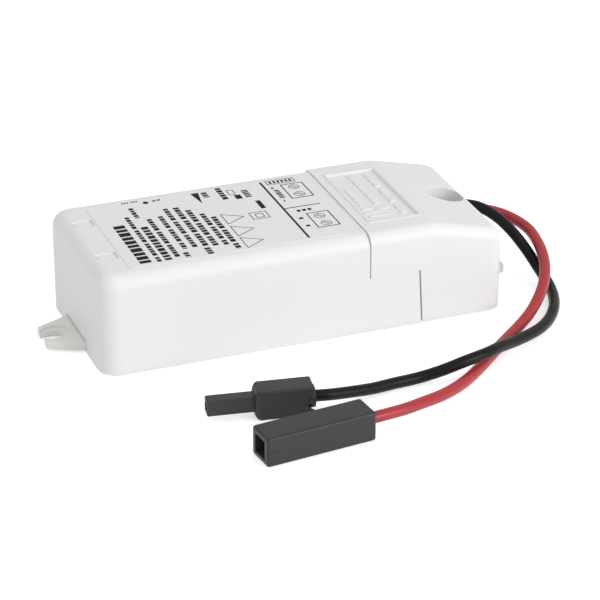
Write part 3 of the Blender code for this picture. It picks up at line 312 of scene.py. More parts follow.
def lean(thing, x, slope):
    """Trims a block's +X end by a plane that leans back as it rises."""
    edit(thing, chosen_face=lambda centre, normal: True)
    bpy.ops.mesh.bisect(plane_co=(x, 0, 0), plane_no=(1, 0, slope), use_fill=True, clear_outer=True)
    done()


def smooth(thing, crisp=CRISP, segments=2):
    """Breaks the sharp edges as a mould does, and shades the rounds smooth and the flats flat."""
    if crisp:
        apply(thing, "BEVEL", width=crisp, segments=segments, limit_method="ANGLE", angle_limit=radians(30))
    edit(thing, chosen_face=lambda centre, normal: True)
    bpy.ops.mesh.remove_doubles(threshold=0.003 * MM)
    bpy.ops.mesh.dissolve_degenerate(threshold=0.003 * MM)
    done()
    bpy.ops.mesh.customdata_custom_splitnormals_clear()
    bpy.ops.object.shade_smooth_by_angle(angle=radians(50))
    apply(thing, "WEIGHTED_NORMAL", keep_sharp=True)
    return thing


def rounded_block(name, low, high, end_x, corner, edge):
    """A block with rounded upright corners at one end, and a rounded top rim except at its other end."""
    thing = block(name, low, high)
    other_x = low[0] if end_x == high[0] else high[0]
    edit(thing, chosen_edge=lambda a, b: (
        max(abs(a.x - end_x), abs(b.x - end_x)) < NEAR and abs(a.y - b.y) < NEAR
    ))
    bpy.ops.mesh.bevel(offset=corner, segments=12, profile=0.5, affect="EDGES")
    done()
    top = high[2]
    edit(thing, chosen_edge=lambda a, b: (
        abs(a.z - top) < NEAR and abs(b.z - top) < NEAR
        and not (abs(a.x - other_x) < NEAR and abs(b.x - other_x) < NEAR)
    ))
    bpy.ops.mesh.bevel(offset=edge, segments=8, profile=0.5, affect="EDGES")
    done()
    return thing


def moulded(name, colour, roughness=0.42, grain=0.012 * MM, gloss=0.5):
    """Moulded plastic: a fine eroded grain, faint flow marks, and slightly uneven gloss."""
    material, shader, place = finish(name, IOR=1.5, Specular_IOR_Level=gloss)
    grains = place.noise(place, 0.22 * MM, 3.0)
    flow = place.noise(place, 14.0 * MM, 2.0)
    darker = tuple(part * 0.965 for part in colour)
    feed(shader, "Base Color", place.between(flow * 0.6 + grains * 0.4, darker, colour))
    feed(shader, "Roughness", roughness - 0.05 + flow * 0.1)
    bump(shader, grains, grain)
    return material


case_finish = moulded("white_case_plastic", (0.83, 0.833, 0.83), 0.5)
case = rounded_block("main_case", case_low, case_high, case_low.x, CORNER_RADIUS, EDGE_RADIUS)
lean(case, case_high.x, SKIRT_LEAN)
inner_low = (case_low.x + WALL, case_low.y + WALL, -OVER)
inner_high = (case_high.x + OVER, case_high.y - WALL, case_high.z - WALL)
hollow = rounded_block(
    "hollow", inner_low, inner_high, inner_low[0], CORNER_RADIUS - WALL, EDGE_RADIUS - WALL
)
carve(hollow, block(
    "partition",
    (PARTITION[0], case_low.y - OVER, BOARD_TOP + FIT),
    (PARTITION[1], case_high.y + OVER, case_high.z + OVER),
))
carve(case, hollow)
hood_room = block(
    "hood_room",
    (cover_low.x - SEAM, case_low.y - OVER, SKIRT_TOP),
    (case_high.x + OVER, case_high.y + OVER, case_high.z + OVER),
)
carve(hood_room, block(
    "tongue",
    (PARTITION[0], case_low.y + WALL + FIT, 0),
    (PARTITION[1], case_high.y - WALL - FIT, case_high.z - WALL - FIT),
))
carve(case, hood_room)
LUG_NOTCH = (7.2 * MM, 2.6 * MM)
carve(case, block(
    "lug_notch",
    (case_low.x - OVER, -LUG_NOTCH[0], -OVER),
    (case_low.x + WALL + OVER, LUG_NOTCH[0], LUG_NOTCH[1]),
))
for side in (-1, 1):
    middle = Vector((case_low.x + WINDOW_TO_END + WINDOW_SIZE[0] / 2, side * WINDOW_SPREAD / 2, 0))
    half = Vector((*WINDOW_SIZE, 0)) / 2
    rib = Vector((*SNAP_SIZE, 0)) / 2
    window = block(
        "window",
        middle - half + Vector((0, 0, case_high.z - WINDOW_DEPTH)),
        middle + half + Vector((0, 0, case_high.z + OVER)),
    )
    carve(window, block("rib", middle - rib, middle + rib + Vector((0, 0, case_high.z - FIT / 2))))
    carve(case, window)
smooth(case)
case.data.materials.append(case_finish)
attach(case, "root")
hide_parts("housing_shell")


# The terminal cover: a second white moulding, a hair wider than the case, with a recessed panel, a sloping
# end, a round well for its screw and an entry for the cables on each side.
COVER_CORNER = 3.1 * MM
COVER_RIM = 2.5 * MM
COVER_LIFT = 0.5 * MM
SLOPE_LENGTH = 15.7 * MM
SLOPE_DROP = 3.7 * MM
CREASE_WIDTH = 1.2 * MM
WELL_X = 38.5 * MM
WELL_RADIUS = 4.1 * MM
WELL_WALL = 1.4 * MM
WELL_BOTTOM = 7.4 * MM
WELL_SHOULDER = 9.0 * MM
SCREW_CLEARANCE = 1.75 * MM
ENTRY_SIDES = (7.5 * MM, 16.0 * MM)
ENTRY_LOW = 7.4 * MM
ENTRY_HIGH = 13.3 * MM
CLAMP_START = 36.7 * MM
CLAMP_END = 37.9 * MM
CLAMP_HIGH = 12.2 * MM
PANEL_LOW = (16.3 * MM, -12.6 * MM)
PANEL_HIGH = (27.1 * MM, 12.6 * MM)
PANEL_DEPTH = 0.4 * MM
PANEL_RIM = 0.2 * MM
LIP_WIDTH = 0.5 * MM
LIP_HEIGHT = 0.16 * MM
RELIEF_HEIGHT = 0.25 * MM
WELL_MOUTH = 0.5 * MM


def hood(name, inset, low_x, top, end_radius, rim_radius):
    """The cover's block: a sloping end from its crease, with rounded upright corners and a rounded rim."""
    half = cover_high.y - inset
    end_x = cover_high.x - inset
    crease_x = cover_high.x - SLOPE_LENGTH
    thing = block(name, (low_x, -half, -OVER if inset else COVER_LIFT), (end_x, half, top))
    edit(thing, chosen_face=lambda centre, normal: True)
    bpy.ops.mesh.bisect(plane_co=(crease_x, 0, 0), plane_no=(1, 0, 0))
    done()
    edit(thing, chosen_edge=lambda a, b: min(a.x, b.x) > end_x - NEAR and min(a.z, b.z) > top - NEAR)
    bpy.ops.transform.translate(value=(0, 0, -SLOPE_DROP * (end_x - crease_x) / SLOPE_LENGTH))
    done()
    edit(thing, chosen_edge=lambda a, b: min(a.x, b.x) > end_x - NEAR and abs(a.y - b.y) < NEAR)
    bpy.ops.mesh.bevel(offset=end_radius, segments=12, profile=0.5, affect="EDGES")
    done()
    low_top = top - SLOPE_DROP - NEAR
    edit(thing, chosen_edge=lambda a, b: (
        min(a.z, b.z) > low_top and not (abs(a.x - b.x) < 1e-7 and a.x < end_x - end_radius)
    ))
    bpy.ops.mesh.bevel(offset=rim_radius, segments=8, profile=0.5, affect="EDGES")
    done()
    edit(thing, chosen_edge=lambda a, b: (
        max(abs(a.x - crease_x), abs(b.x - crease_x)) < CREASE_WIDTH / 4 and min(a.z, b.z) > OVER
    ))
    bpy.ops.mesh.bevel(offset=CREASE_WIDTH, segments=4, profile=0.5, affect="EDGES")
    done()
    return thing


cover = hood("screwed_cover", 0.0, cover_low.x, cover_high.z, COVER_CORNER, COVER_RIM)
below_step = block(
    "below_step",
    (cover_low.x - OVER, cover_low.y - OVER, -OVER),
    (case_high.x + OVER, cover_high.y + OVER, SKIRT_TOP + SEAM),
)
lean(below_step, case_high.x + SKIRT_GAP, SKIRT_LEAN)
carve(cover, below_step)
cavity = hood("cavity", WALL, cover_low.x - OVER, cover_high.z - WALL, COVER_CORNER - WALL, COVER_RIM - WALL)
carve(cavity, rod("column", WELL_RADIUS + WELL_WALL, (WELL_X, 0, WELL_BOTTOM), (WELL_X, 0, 2 * cover_high.z)))
for side in (-1, 1):
    ends = sorted((side * ENTRY_SIDES[0], side * ENTRY_SIDES[1]))
    carve(cavity, block(
        "clamp_rib", (CLAMP_START, ends[0], CLAMP_HIGH), (CLAMP_END, ends[1], cover_high.z + OVER)
    ))
carve(cover, cavity)
carve(
    cover,
    rod("well", WELL_RADIUS, (WELL_X, 0, WELL_SHOULDER), (WELL_X, 0, cover_high.z + OVER), 64),
    rod("screw_way", SCREW_CLEARANCE, (WELL_X, 0, 0), (WELL_X, 0, WELL_SHOULDER + OVER), 32),
)
for side in (-1, 1):
    ends = sorted((side * ENTRY_SIDES[0], side * ENTRY_SIDES[1]))
    carve(cover, block(
        "cable_entry",
        (cover_high.x - WALL - OVER, ends[0], ENTRY_LOW),
        (cover_high.x + OVER, ends[1], ENTRY_HIGH),
    ))
carve(cover, block(
    "lug_notch",
    (cover_high.x - WALL - OVER, -LUG_NOTCH[0], -OVER),
    (cover_high.x + OVER, LUG_NOTCH[0], LUG_NOTCH[1]),
))
carve(cover, block(
    "panel_lip",
    (PANEL_LOW[0] - LIP_WIDTH, PANEL_LOW[1] - LIP_WIDTH, cover_high.z - PANEL_DEPTH),
    (PANEL_HIGH[0] + LIP_WIDTH, PANEL_HIGH[1] + LIP_WIDTH, cover_high.z + LIP_HEIGHT),
), operation="UNION")
carve(cover, block(
    "panel",
    (*PANEL_LOW, cover_high.z - PANEL_DEPTH),
    (*PANEL_HIGH, cover_high.z + OVER),
))
edit(cover, chosen_edge=lambda a, b: (
    min(a.z, b.z) > cover_high.z + LIP_HEIGHT - NEAR
    and PANEL_LOW[0] - NEAR < min(a.x, b.x) and max(a.x, b.x) < PANEL_HIGH[0] + NEAR
    and max(abs(a.y), abs(b.y)) < PANEL_HIGH[1] + NEAR
))
bpy.ops.mesh.bevel(offset=PANEL_RIM, segments=3, profile=0.5, affect="EDGES")
done()
smooth(cover)
slope_angle = math.atan(SLOPE_DROP / SLOPE_LENGTH)
mouth_top = cover_high.z - (WELL_X - cover_high.x + SLOPE_LENGTH) * SLOPE_DROP / SLOPE_LENGTH
pick()
bpy.ops.mesh.primitive_cone_add(
    vertices=64, radius1=WELL_RADIUS - WELL_MOUTH, radius2=WELL_RADIUS + 2 * WELL_MOUTH, depth=3 * WELL_MOUTH,
    location=(WELL_X, 0, mouth_top), rotation=(0, slope_angle, 0),
)
bpy.ops.object.transform_apply(location=True, rotation=True, scale=True)
carve(cover, bpy.context.object)


def bars(name, spans, low, high):
    """Several bars that don't touch, in one piece: each by its X and Y reach, all between two heights."""
    (x0, x1, y0, y1), *others = spans
    thing = block(name, (x0, y0, low), (x1, y1, high))
    edit(thing, chosen_face=lambda centre, normal: False)
    for x0, x1, y0, y1 in others:
        bpy.ops.mesh.primitive_cube_add(
            size=1.0,
            location=((x0 + x1) / 2, (y0 + y1) / 2, (low + high) / 2),
            scale=(x1 - x0, y1 - y0, high - low),
        )
    done()
    return thing


def row(x0, x1, start, end, sizes, gap):
    """A row of bars along -Y whose lengths follow a repeated pattern. A length below 0 leaves a space."""
    made, y, k = [], start, 0
    while y > end:
        size = sizes[k % len(sizes)]
        if size > 0:
            made.append((x0, x1, max(y - size, end), y))
        y -= abs(size) + gap
        k += 1
    return [span for span in made if span[3] - span[2] > 1e-5]


def in_mm(spans):
    return [tuple(value * MM for value in span) for span in spans]


relief = row(24.3, 25.7, 11.0, -10.6, (2.3, 1.4, 1.9, -0.6), 0.55)
relief += row(20.7, 22.0, 11.4, -3.9, (1.8, 2.4, 1.2), 0.6)
relief += row(17.4, 18.5, 4.8, -4.2, (1.6, 1.1), 0.6)
relief += [(17.2, 19.4, -6.0, -5.3), (20.2, 23.0, -6.7, -6.0)]
relief += [(17.0, 21.6, -8.1, -7.4), (17.3, 22.6, -9.8, -9.1)]
panel_floor = cover_high.z - PANEL_DEPTH
carve(
    cover,
    bars("relief", in_mm(relief), panel_floor - RELIEF_HEIGHT, panel_floor + RELIEF_HEIGHT),
    operation="UNION",
)
smooth(cover, 0)
cover.data.materials.append(case_finish)
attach(cover, "root")
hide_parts("terminal_cover")


# The base: a slightly warmer white moulding that closes the case from below. It carries both fixing lugs, the
# rails under the board, the boss of the cover screw and the lower ribs of the cable clamps.
BASE_EDGE = 42.0 * MM
BASE_THICKNESS = 2.3 * MM
BASE_CORNER = 2.4 * MM
BODY_END = 44.1 * MM
LUG_ROOT = 6.9 * MM
LUG_TIP = 3.6 * MM
LUG_LIFT = 0.5 * MM
SLOT_X = 48.7 * MM
SLOT_RADIUS = 1.75 * MM
SINK_RADIUS = 3.2 * MM
SINK_DEPTH = 0.5 * MM
BOARD_UNDERSIDE = 4.5 * MM
RAIL_ENDS = (-37.6 * MM, 28.3 * MM)
RAIL_SIDES = (15.7 * MM, 16.7 * MM)
BOSS_RADIUS = 2.8 * MM
BOSS_BORE = 1.35 * MM
BOSS_TOP = 7.1 * MM
CLAMP_LOW = 7.6 * MM
SOFT = 0.3 * MM
base = block("lower_base", (-BASE_EDGE, base_low.y, 0), (BASE_EDGE, base_high.y, BASE_THICKNESS))
edit(base, chosen_edge=lambda a, b: abs(a.z - b.z) > NEAR)
bpy.ops.mesh.bevel(offset=BASE_CORNER, segments=8, profile=0.5, affect="EDGES")
done()
for side in (-1, 1):
    tip = side * base_high.x
    ends = sorted((tip, side * (BODY_END - WALL)))
    lug = block("lug", (ends[0], -LUG_ROOT, 0), (ends[1], LUG_ROOT, BASE_THICKNESS))
    edit(lug, chosen_face=lambda centre, normal: True)
    bpy.ops.mesh.bisect(plane_co=(side * BODY_END, 0, 0), plane_no=(1, 0, 0))
    done()
    edit(lug, chosen_edge=lambda a, b: max(abs(a.x - tip), abs(b.x - tip)) < NEAR)
    bpy.ops.transform.resize(value=(1, LUG_TIP / LUG_ROOT, 1), center_override=(0, 0, 0))
    done()
    reach = sorted((side * BODY_END, side * (BODY_END + 2 * LUG_ROOT)))
    carve(lug, block("under_lug", (reach[0], -2 * LUG_ROOT, -OVER), (reach[1], 2 * LUG_ROOT, LUG_LIFT)))
    carve(base, lug, operation="UNION")
smooth(base, SOFT, 3)
above = 2 * BASE_THICKNESS
for side in (-1, 1):
    slot_ends = sorted((side * SLOT_X, side * (SLOT_X + 2 * LUG_ROOT)))
    middle = side * SLOT_X
    carve(
        base,
        rod("seat", SINK_RADIUS, (middle, 0, BASE_THICKNESS - SINK_DEPTH), (middle, 0, above), 54),
        block("slot", (slot_ends[0], -SLOT_RADIUS, -OVER), (slot_ends[1], SLOT_RADIUS, above)),
        rod("slot_end", SLOT_RADIUS, (middle, 0, -OVER), (middle, 0, above)),
    )
rib_low = BASE_THICKNESS / 2
joined = [rod("boss", BOSS_RADIUS, (WELL_X, 0, rib_low), (WELL_X, 0, BOSS_TOP))]
for side in (-1, 1):
    ends = sorted((side * RAIL_SIDES[0], side * RAIL_SIDES[1]))
    joined.append(block("rail", (RAIL_ENDS[0], ends[0], rib_low), (RAIL_ENDS[1], ends[1], BOARD_UNDERSIDE)))
    ends = sorted((side * ENTRY_SIDES[0], side * ENTRY_SIDES[1]))
    joined.append(block("clamp_rib", (CLAMP_START, ends[0], rib_low), (CLAMP_END, ends[1], CLAMP_LOW)))
carve(base, *joined, operation="UNION")
carve(base, rod("boss_bore", BOSS_BORE, (WELL_X, 0, BASE_THICKNESS), (WELL_X, 0, BOSS_TOP + OVER), 32))
smooth(base, 0)
base.data.materials.append(moulded("warm_white_plastic", (0.84, 0.83, 0.80), 0.48))
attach(base, "root")
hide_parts("base_plate")


# The cover screw: a zinc-plated pan-head screw with a cross recess, which goes down the well and through the
# cover's floor into the boss of the base.
HEAD_RADIUS = 2.8 * MM
HEAD_LOW = 9.2 * MM
HEAD_TOP = 11.3 * MM
HEAD_ROUND = 0.7
SHANK_RADIUS = 1.15 * MM
SHANK_LOW = 3.2 * MM
RECESS_REACH = 1.7 * MM
RECESS_HALF = 0.34 * MM
RECESS_DEPTH = 1.2 * MM


def plated(name, colour, roughness, lay):
    """Bright metal under a thin plating: a fine directional polish, small scuffs and dull patches."""
    material, shader, place = finish(name, Metallic=1.0)
    patches = place.noise(place, 2.5 * MM, 3.0)
    stretched = place.node("ShaderNodeMapping", {}, {"Vector": place, "Scale": lay})
    polish = stretched.noise(stretched, 0.15 * MM, 2.0)
    duller = tuple(part * 0.82 for part in colour)
    feed(shader, "Base Color", place.between(patches, duller, colour))
    feed(shader, "Roughness", roughness + patches * 0.12)
    bump(shader, polish, 0.006 * MM)
    return material


screw = rod("cover_fixing_screw", HEAD_RADIUS, (WELL_X, 0, HEAD_LOW), (WELL_X, 0, HEAD_TOP), 64)
edit(screw, chosen_edge=lambda a, b: min(a.z, b.z) > HEAD_TOP - NEAR)
bpy.ops.mesh.bevel(offset=(HEAD_TOP - HEAD_LOW) * HEAD_ROUND, segments=8, profile=0.5, affect="EDGES")
done()
shank_ends = (WELL_X, 0, SHANK_LOW), (WELL_X, 0, HEAD_LOW + SHANK_RADIUS / 2)
carve(screw, rod("shank", SHANK_RADIUS, *shank_ends, 32), operation="UNION")
for across, along_y in ((RECESS_REACH, RECESS_HALF), (RECESS_HALF, RECESS_REACH)):
    carve(screw, block(
        "recess",
        (WELL_X - across, -along_y, HEAD_TOP - RECESS_DEPTH),
        (WELL_X + across, along_y, HEAD_TOP + OVER),
    ))
smooth(screw, 0)
steel = plated("zinc_plated_steel", (0.62, 0.62, 0.60), 0.3, (1, 1, 1))
screw.data.materials.append(steel)
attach(screw, "root")
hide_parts("cover_screw")


# The rating label: a printed matt film. Its lines of print are plain bars here, with the generic signs of
# such a label: two terminal diagrams, a rule, polarity marks, a double square and three triangles.
LABEL_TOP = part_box("rating_label")[1].z
INK = 0.02 * MM
LINE = 0.16
TERMINALS = ((7.9, 10.2), (7.8, 6.4), (7.7, -5.5), (7.8, -9.2))
TERMINAL_RADIUS = 1.1 * MM
SCREW_SLIT = (1.5 * MM, 0.16 * MM)
SLIT_SHIFT = 0.168
DOT = (-24.2 * MM, 13.5 * MM, LABEL_TOP)
WEDGE = (-13.1 * MM, 12.6 * MM, LABEL_TOP)
TRIANGLE_TOPS = (2.3, -3.9, -9.75)


def edge_bars(x0, x1, y0, y1, line=LINE):
    """The four sides of a rectangle's outline."""
    return [
        (x0, x1, y0, y0 + line), (x0, x1, y1 - line, y1),
        (x0, x0 + line, y0 + line, y1 - line), (x1 - line, x1, y0 + line, y1 - line),
    ]


fine, plain = (0.85, 1.1, 0.7, 0.95, 1.25, -0.25), (0.9, 0.7, 1.1)
ink = row(-34.25, -31.85, 4.4, -14.85, (1.5, 1.2, 1.75, 1.35), 0.5)
ink += row(-30.7, -29.75, 7.8, -14.7, fine, 0.28)
ink += row(-29.0, -27.5, 2.1, -14.6, (1.25, 0.95, 1.1, 1.4), 0.42)
ink += row(-26.65, -25.6, 5.4, -14.2, fine, 0.26)
ink += row(-28.55, -27.6, 11.9, 6.7, plain, 0.3)
ink += row(-24.05, -23.0, 5.9, -10.8, fine, 0.3)
ink += row(-24.7, -23.6, -12.5, -14.8, plain, 0.3)
ink += row(-21.9, -20.85, 9.1, -11.3, fine, 0.3)
ink += row(-19.75, -18.55, 8.9, -11.0, fine, 0.3)
ink += row(-20.0, -18.7, -11.9, -14.9, plain, 0.3)
ink += row(-17.75, -16.55, 6.8, -11.7, fine, 0.3)
ink += row(-15.5, -14.45, 4.1, -11.9, fine, 0.3)
ink += row(-13.8, -12.65, 1.8, -14.6, fine, 0.3)
ink += row(-11.8, -10.6, 14.1, 11.5, plain, 0.3)
ink += row(-8.35, -7.15, 15.2, 8.6, fine, 0.3)
ink += row(-3.45, -2.05, 12.3, 8.4, (0.5,), 0.3)
ink += [(x, x + 0.32, 14.45, 15.05) for x in (-29.1, -28.55, -28.0, -27.1, -26.55, -26.0)]
ink += [(-22.6, -21.9, 13.5, 14.1), (-21.6, -20.9, 13.6, 14.2), (-2.35, -1.3, 2.1, 6.2)]
ink += edge_bars(-6.4, -4.9, 10.9, 13.4) + [(-5.6, -4.2, 8.4, 10.5)]
ink += edge_bars(-5.8, -2.0, -2.6, 0.8) + edge_bars(-4.75, -3.0, -1.95, -0.05)
ink += [(1.62, 2.08, -14.85, 14.7), (2.08, 10.1, 0.12, 0.4)]
ink += edge_bars(2.95, 9.25, 12.8, 14.95)
ink += [(x, x + 0.5, 13.3, 14.45) for x in (3.6, 4.5, 5.4, 6.3, 7.2, 8.1)]
ink += edge_bars(5.4, 10.4, 4.5, 12.05, 0.24) + edge_bars(5.35, 10.3, -11.05, -3.5, 0.24)
ink += [(2.9, 3.8, 10.9, 11.15), (3.22, 3.47, 11.15, 11.5)]
ink += [(3.22, 3.47, 10.55, 10.9), (3.4, 3.65, 3.6, 4.5)]
ink += row(3.2, 4.3, 9.9, 5.6, (0.5, 0.38, 0.62), 0.3)
ink += [(4.1, 4.9, -2.2, -1.25), (5.3, 6.1, -2.2, -1.25), (6.5, 7.3, -2.2, -1.25)]
ink += [(3.2, 4.1, -5.8, -5.0), (3.3, 4.15, -9.7, -8.9)]
print_low, print_high = LABEL_TOP - INK, LABEL_TOP + INK
marks = bars("label_print", in_mm(ink), print_low, print_high)
edit(marks, chosen_face=lambda centre, normal: False)
for x, y in TERMINALS:
    bpy.ops.mesh.primitive_torus_add(
        location=(x * MM, y * MM, LABEL_TOP), major_radius=TERMINAL_RADIUS, minor_radius=0.09 * MM,
        major_segments=40, minor_segments=8,
    )
    bpy.ops.transform.resize(value=(1, 1, 0.25), center_override=(0, 0, LABEL_TOP))
    for shift in (-SLIT_SHIFT, SLIT_SHIFT):
        bpy.ops.mesh.primitive_cube_add(
            size=1.0, location=((x + shift) * MM, (y + shift) * MM, LABEL_TOP),
            rotation=(0, 0, radians(-45)), scale=(*SCREW_SLIT, 2 * INK),
        )
bpy.ops.mesh.primitive_cylinder_add(vertices=32, radius=0.6 * MM, depth=2 * INK, location=DOT)
bpy.ops.mesh.primitive_cylinder_add(
    vertices=3, radius=1.0 * MM, depth=2 * INK, location=WEDGE, rotation=(0, 0, radians(180))
)
bpy.ops.transform.resize(value=(1.0, 3.6, 1), center_override=WEDGE)
for top_y in TRIANGLE_TOPS:
    corners = (-11.45, top_y), (-7.2, top_y - 2.55), (-11.45, top_y - 5.1)
    for (x0, y0), (x1, y1) in zip(corners, corners[1:] + corners[:1]):
        bpy.ops.mesh.primitive_cube_add(
            size=1.0, location=((x0 + x1) / 2 * MM, (y0 + y1) / 2 * MM, LABEL_TOP),
            rotation=(0, 0, math.atan2(y1 - y0, x1 - x0)),
            scale=((math.hypot(x1 - x0, y1 - y0) + LINE) * MM, LINE * MM, 2 * INK),
        )
done()
material, shader, place = finish("label_ink", Roughness=0.6, Specular_IOR_Level=0.15)
mottle = place.noise(place, 0.3 * MM)
feed(shader, "Base Color", place.between(mottle, (0.004, 0.004, 0.004), (0.012, 0.012, 0.012)))
marks.data.materials.append(material)
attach(marks, "root")
material, shader, place = finish("matt_label_film", IOR=1.48)
fibre = place.noise(place, 0.35 * MM, 3.0)
sheen = place.noise(place, 9.0 * MM, 2.0)
feed(shader, "Base Color", place.between(sheen, (0.80, 0.805, 0.805), (0.83, 0.835, 0.835)))
feed(shader, "Roughness", 0.42 + fibre * 0.12)
bump(shader, fibre, 0.004 * MM)
bpy.data.objects["rating_label"].material_slots[0].material = material


# The two connectors: dark grey nylon housings with softly rounded edges. The black lead ends in a plug with
# a slim nose, the red lead in a square socket, and each goes in through a collar at the rear.
SOCKET_LENGTH = 23.5 * MM
SOCKET_HALF = 3.35 * MM
SOCKET_PLACE = (-26.1 * MM, -61.3 * MM)
SOCKET_TURN = 6.5
SOCKET_ROUND = 0.6 * MM
SOCKET_OPENING = 2.0 * MM
SOCKET_DEPTH = 9.5 * MM
PLUG_LENGTH = 21.3 * MM
PLUG_HALF = 2.6 * MM
PLUG_PLACE = (-30.5 * MM, -42.6 * MM)
PLUG_TURN = -9.0
PLUG_ROUND = 0.4 * MM
NOSE_LENGTH = 9.4 * MM
NOSE_HALF = (1.5 * MM, 1.7 * MM)
NOSE_ROUND = 0.35 * MM
SHOULDER = 0.7 * MM
DISH_RADIUS = 3.05 * MM
PLUG_COLLAR = (2.3 * MM, PLUG_LENGTH - DISH_RADIUS - 0.5 * MM, PLUG_LENGTH + 0.3 * MM)
AXIS = 3.15 * MM
BORE = 1.55 * MM
SOCKET_COLLAR = (1.95 * MM, SOCKET_LENGTH - 1.2 * MM, SOCKET_LENGTH + 0.1 * MM)
REAR_DEPTH = 0.8 * MM
REAR_WALL = 0.9 * MM
REAR_HEIGHT = (1.0 * MM, 5.3 * MM)
MARK_LOW = (0.5 * MM, -SOCKET_HALF - 0.1 * MM, AXIS - 0.16 * MM)
MARK_HIGH = (2.2 * MM, FIT - SOCKET_HALF, AXIS + 0.1 * MM)
NOSE_FLARE = 1.25
CONTACT_WAY = (1.05 * MM, 2.0 * MM)
CHAMBER = (1.25 * MM, 1.5 * MM, NOSE_LENGTH + 4.0 * MM)
PLUG_BORE = (BORE, NOSE_LENGTH + 3.0 * MM, PLUG_LENGTH + OVER)
nylon = moulded("dark_grey_nylon", (0.030, 0.031, 0.031), 0.46, 0.02 * MM, 0.38)


def side_rod(name, radius, start, end, sides=40):
    return rod(name, radius, (start, 0, AXIS), (end, 0, AXIS), sides)


def lay_down(thing, place, turn, replaced):
    """Turns a connector that was made along +X and puts it where it lies."""
    thing.location = (*place, 0)
    thing.rotation_euler.z = radians(turn)
    pick(thing)
    bpy.ops.object.transform_apply(location=True, rotation=True, scale=True)
    thing.data.materials.append(nylon)
    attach(thing, "root")
    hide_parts(replaced)


socket = block("socket_housing", (0, -SOCKET_HALF, 0), (SOCKET_LENGTH, SOCKET_HALF, 2 * AXIS))
smooth(socket, SOCKET_ROUND, 4)
carve(socket, block(
    "recess",
    (SOCKET_LENGTH - REAR_DEPTH, REAR_WALL - SOCKET_HALF, REAR_HEIGHT[0]),
    (SOCKET_LENGTH + OVER, SOCKET_HALF - REAR_WALL, REAR_HEIGHT[1]),
))
carve(socket, side_rod("collar", *SOCKET_COLLAR), operation="UNION")
carve(
    socket,
    block(
        "opening",
        (-OVER, -SOCKET_OPENING, AXIS - SOCKET_OPENING),
        (SOCKET_DEPTH, SOCKET_OPENING, AXIS + SOCKET_OPENING),
    ),
    side_rod("bore", BORE, SOCKET_DEPTH - OVER, SOCKET_LENGTH + OVER),
)
carve(socket, block("mould_mark", MARK_LOW, MARK_HIGH), operation="UNION")
smooth(socket, 0)
lay_down(socket, SOCKET_PLACE, SOCKET_TURN, "socket_connector_housing")

plug = block("plug_housing", (NOSE_LENGTH, -PLUG_HALF, 0), (PLUG_LENGTH, PLUG_HALF, 2 * AXIS))
edit(plug, chosen_face=lambda centre, normal: True)
bpy.ops.mesh.bisect(plane_co=(NOSE_LENGTH + SHOULDER, 0, 0), plane_no=(1, 0, 0))
done()
edit(plug, chosen_edge=lambda a, b: max(a.x, b.x) < NOSE_LENGTH + NEAR)
bpy.ops.transform.resize(
    value=(1, NOSE_HALF[0] * NOSE_FLARE / PLUG_HALF, NOSE_HALF[1] * NOSE_FLARE / AXIS),
    center_override=(0, 0, AXIS),
)
done()
smooth(plug, PLUG_ROUND, 4)
nose = block(
    "nose",
    (0, -NOSE_HALF[0], AXIS - NOSE_HALF[1]),
    (NOSE_LENGTH + OVER, NOSE_HALF[0], AXIS + NOSE_HALF[1]),
)
smooth(nose, NOSE_ROUND, 4)
carve(plug, nose, operation="UNION")
pick()
bpy.ops.mesh.primitive_uv_sphere_add(
    segments=60, ring_count=30, radius=DISH_RADIUS, location=(PLUG_LENGTH, 0, AXIS)
)
carve(plug, bpy.context.object)
carve(plug, side_rod("collar", *PLUG_COLLAR, 44), operation="UNION")
carve(
    plug,
    side_rod("contact_way", CONTACT_WAY[0], -OVER, CONTACT_WAY[1]),
    side_rod("chamber", *CHAMBER),
    side_rod("bore", *PLUG_BORE),
)
smooth(plug, 0)
lay_down(plug, PLUG_PLACE, PLUG_TURN, "plug_connector_housing")


# The parts inside the case: standard through-hole parts on a printed circuit board, with tinned legs. They
# come over from the CAD as they are, and each kind has its own finish here.
TINNED = (0.62, 0.61, 0.58)
BAND_BLUR = 0.004
LEG_TOP = 6.4 * MM
BOARD_FACES = (4.55 * MM, 6.05 * MM)


def coat(material, *nodes):
    for node in nodes:
        bpy.data.objects[node].material_slots[0].material = material


def along(place, axis):
    return place.node("ShaderNodeSeparateXYZ", {}, {"Vector": place}, output="XYZ".index(axis))


def legged(name, colour_signal, roughness, grain=0.01 * MM):
    """The finish of a part's body, with bright tinned legs below it."""
    material, shader, place = finish(name, IOR=1.52)
    legs = along(place, "Z").maths("LESS_THAN", along(place, "Z"), LEG_TOP)
    grains = place.noise(place, 0.3 * MM, 4.0)
    feed(shader, "Base Color", place.between(legs, colour_signal(place, grains), TINNED))
    feed(shader, "Metallic", legs)
    feed(shader, "Roughness", roughness + grains * 0.12)
    bump(shader, grains, grain)
    return material


def plain_body(colour, spread=0.85):
    """One colour with a slight unevenness."""
    return lambda place, grains: place.between(grains, tuple(part * spread for part in colour), colour)


def banded_body(axis, start, length, bands, colour):
    """Printed bands across a body along one axis, each by its middle, half-width and colour."""
    def made(place, grains):
        stops = [(0.0, colour)]
        for middle, half, ink in bands:
            stops += [(middle - half - BAND_BLUR, colour), (middle - half, ink), (middle + half, ink)]
            stops += [(middle + half + BAND_BLUR, colour)]
        position = (along(place, axis) - start) * (1.0 / length)
        return place.node("ShaderNodeValToRGB", {"stops": stops + [(1.0, colour)]}, {"Fac": position})
    return made


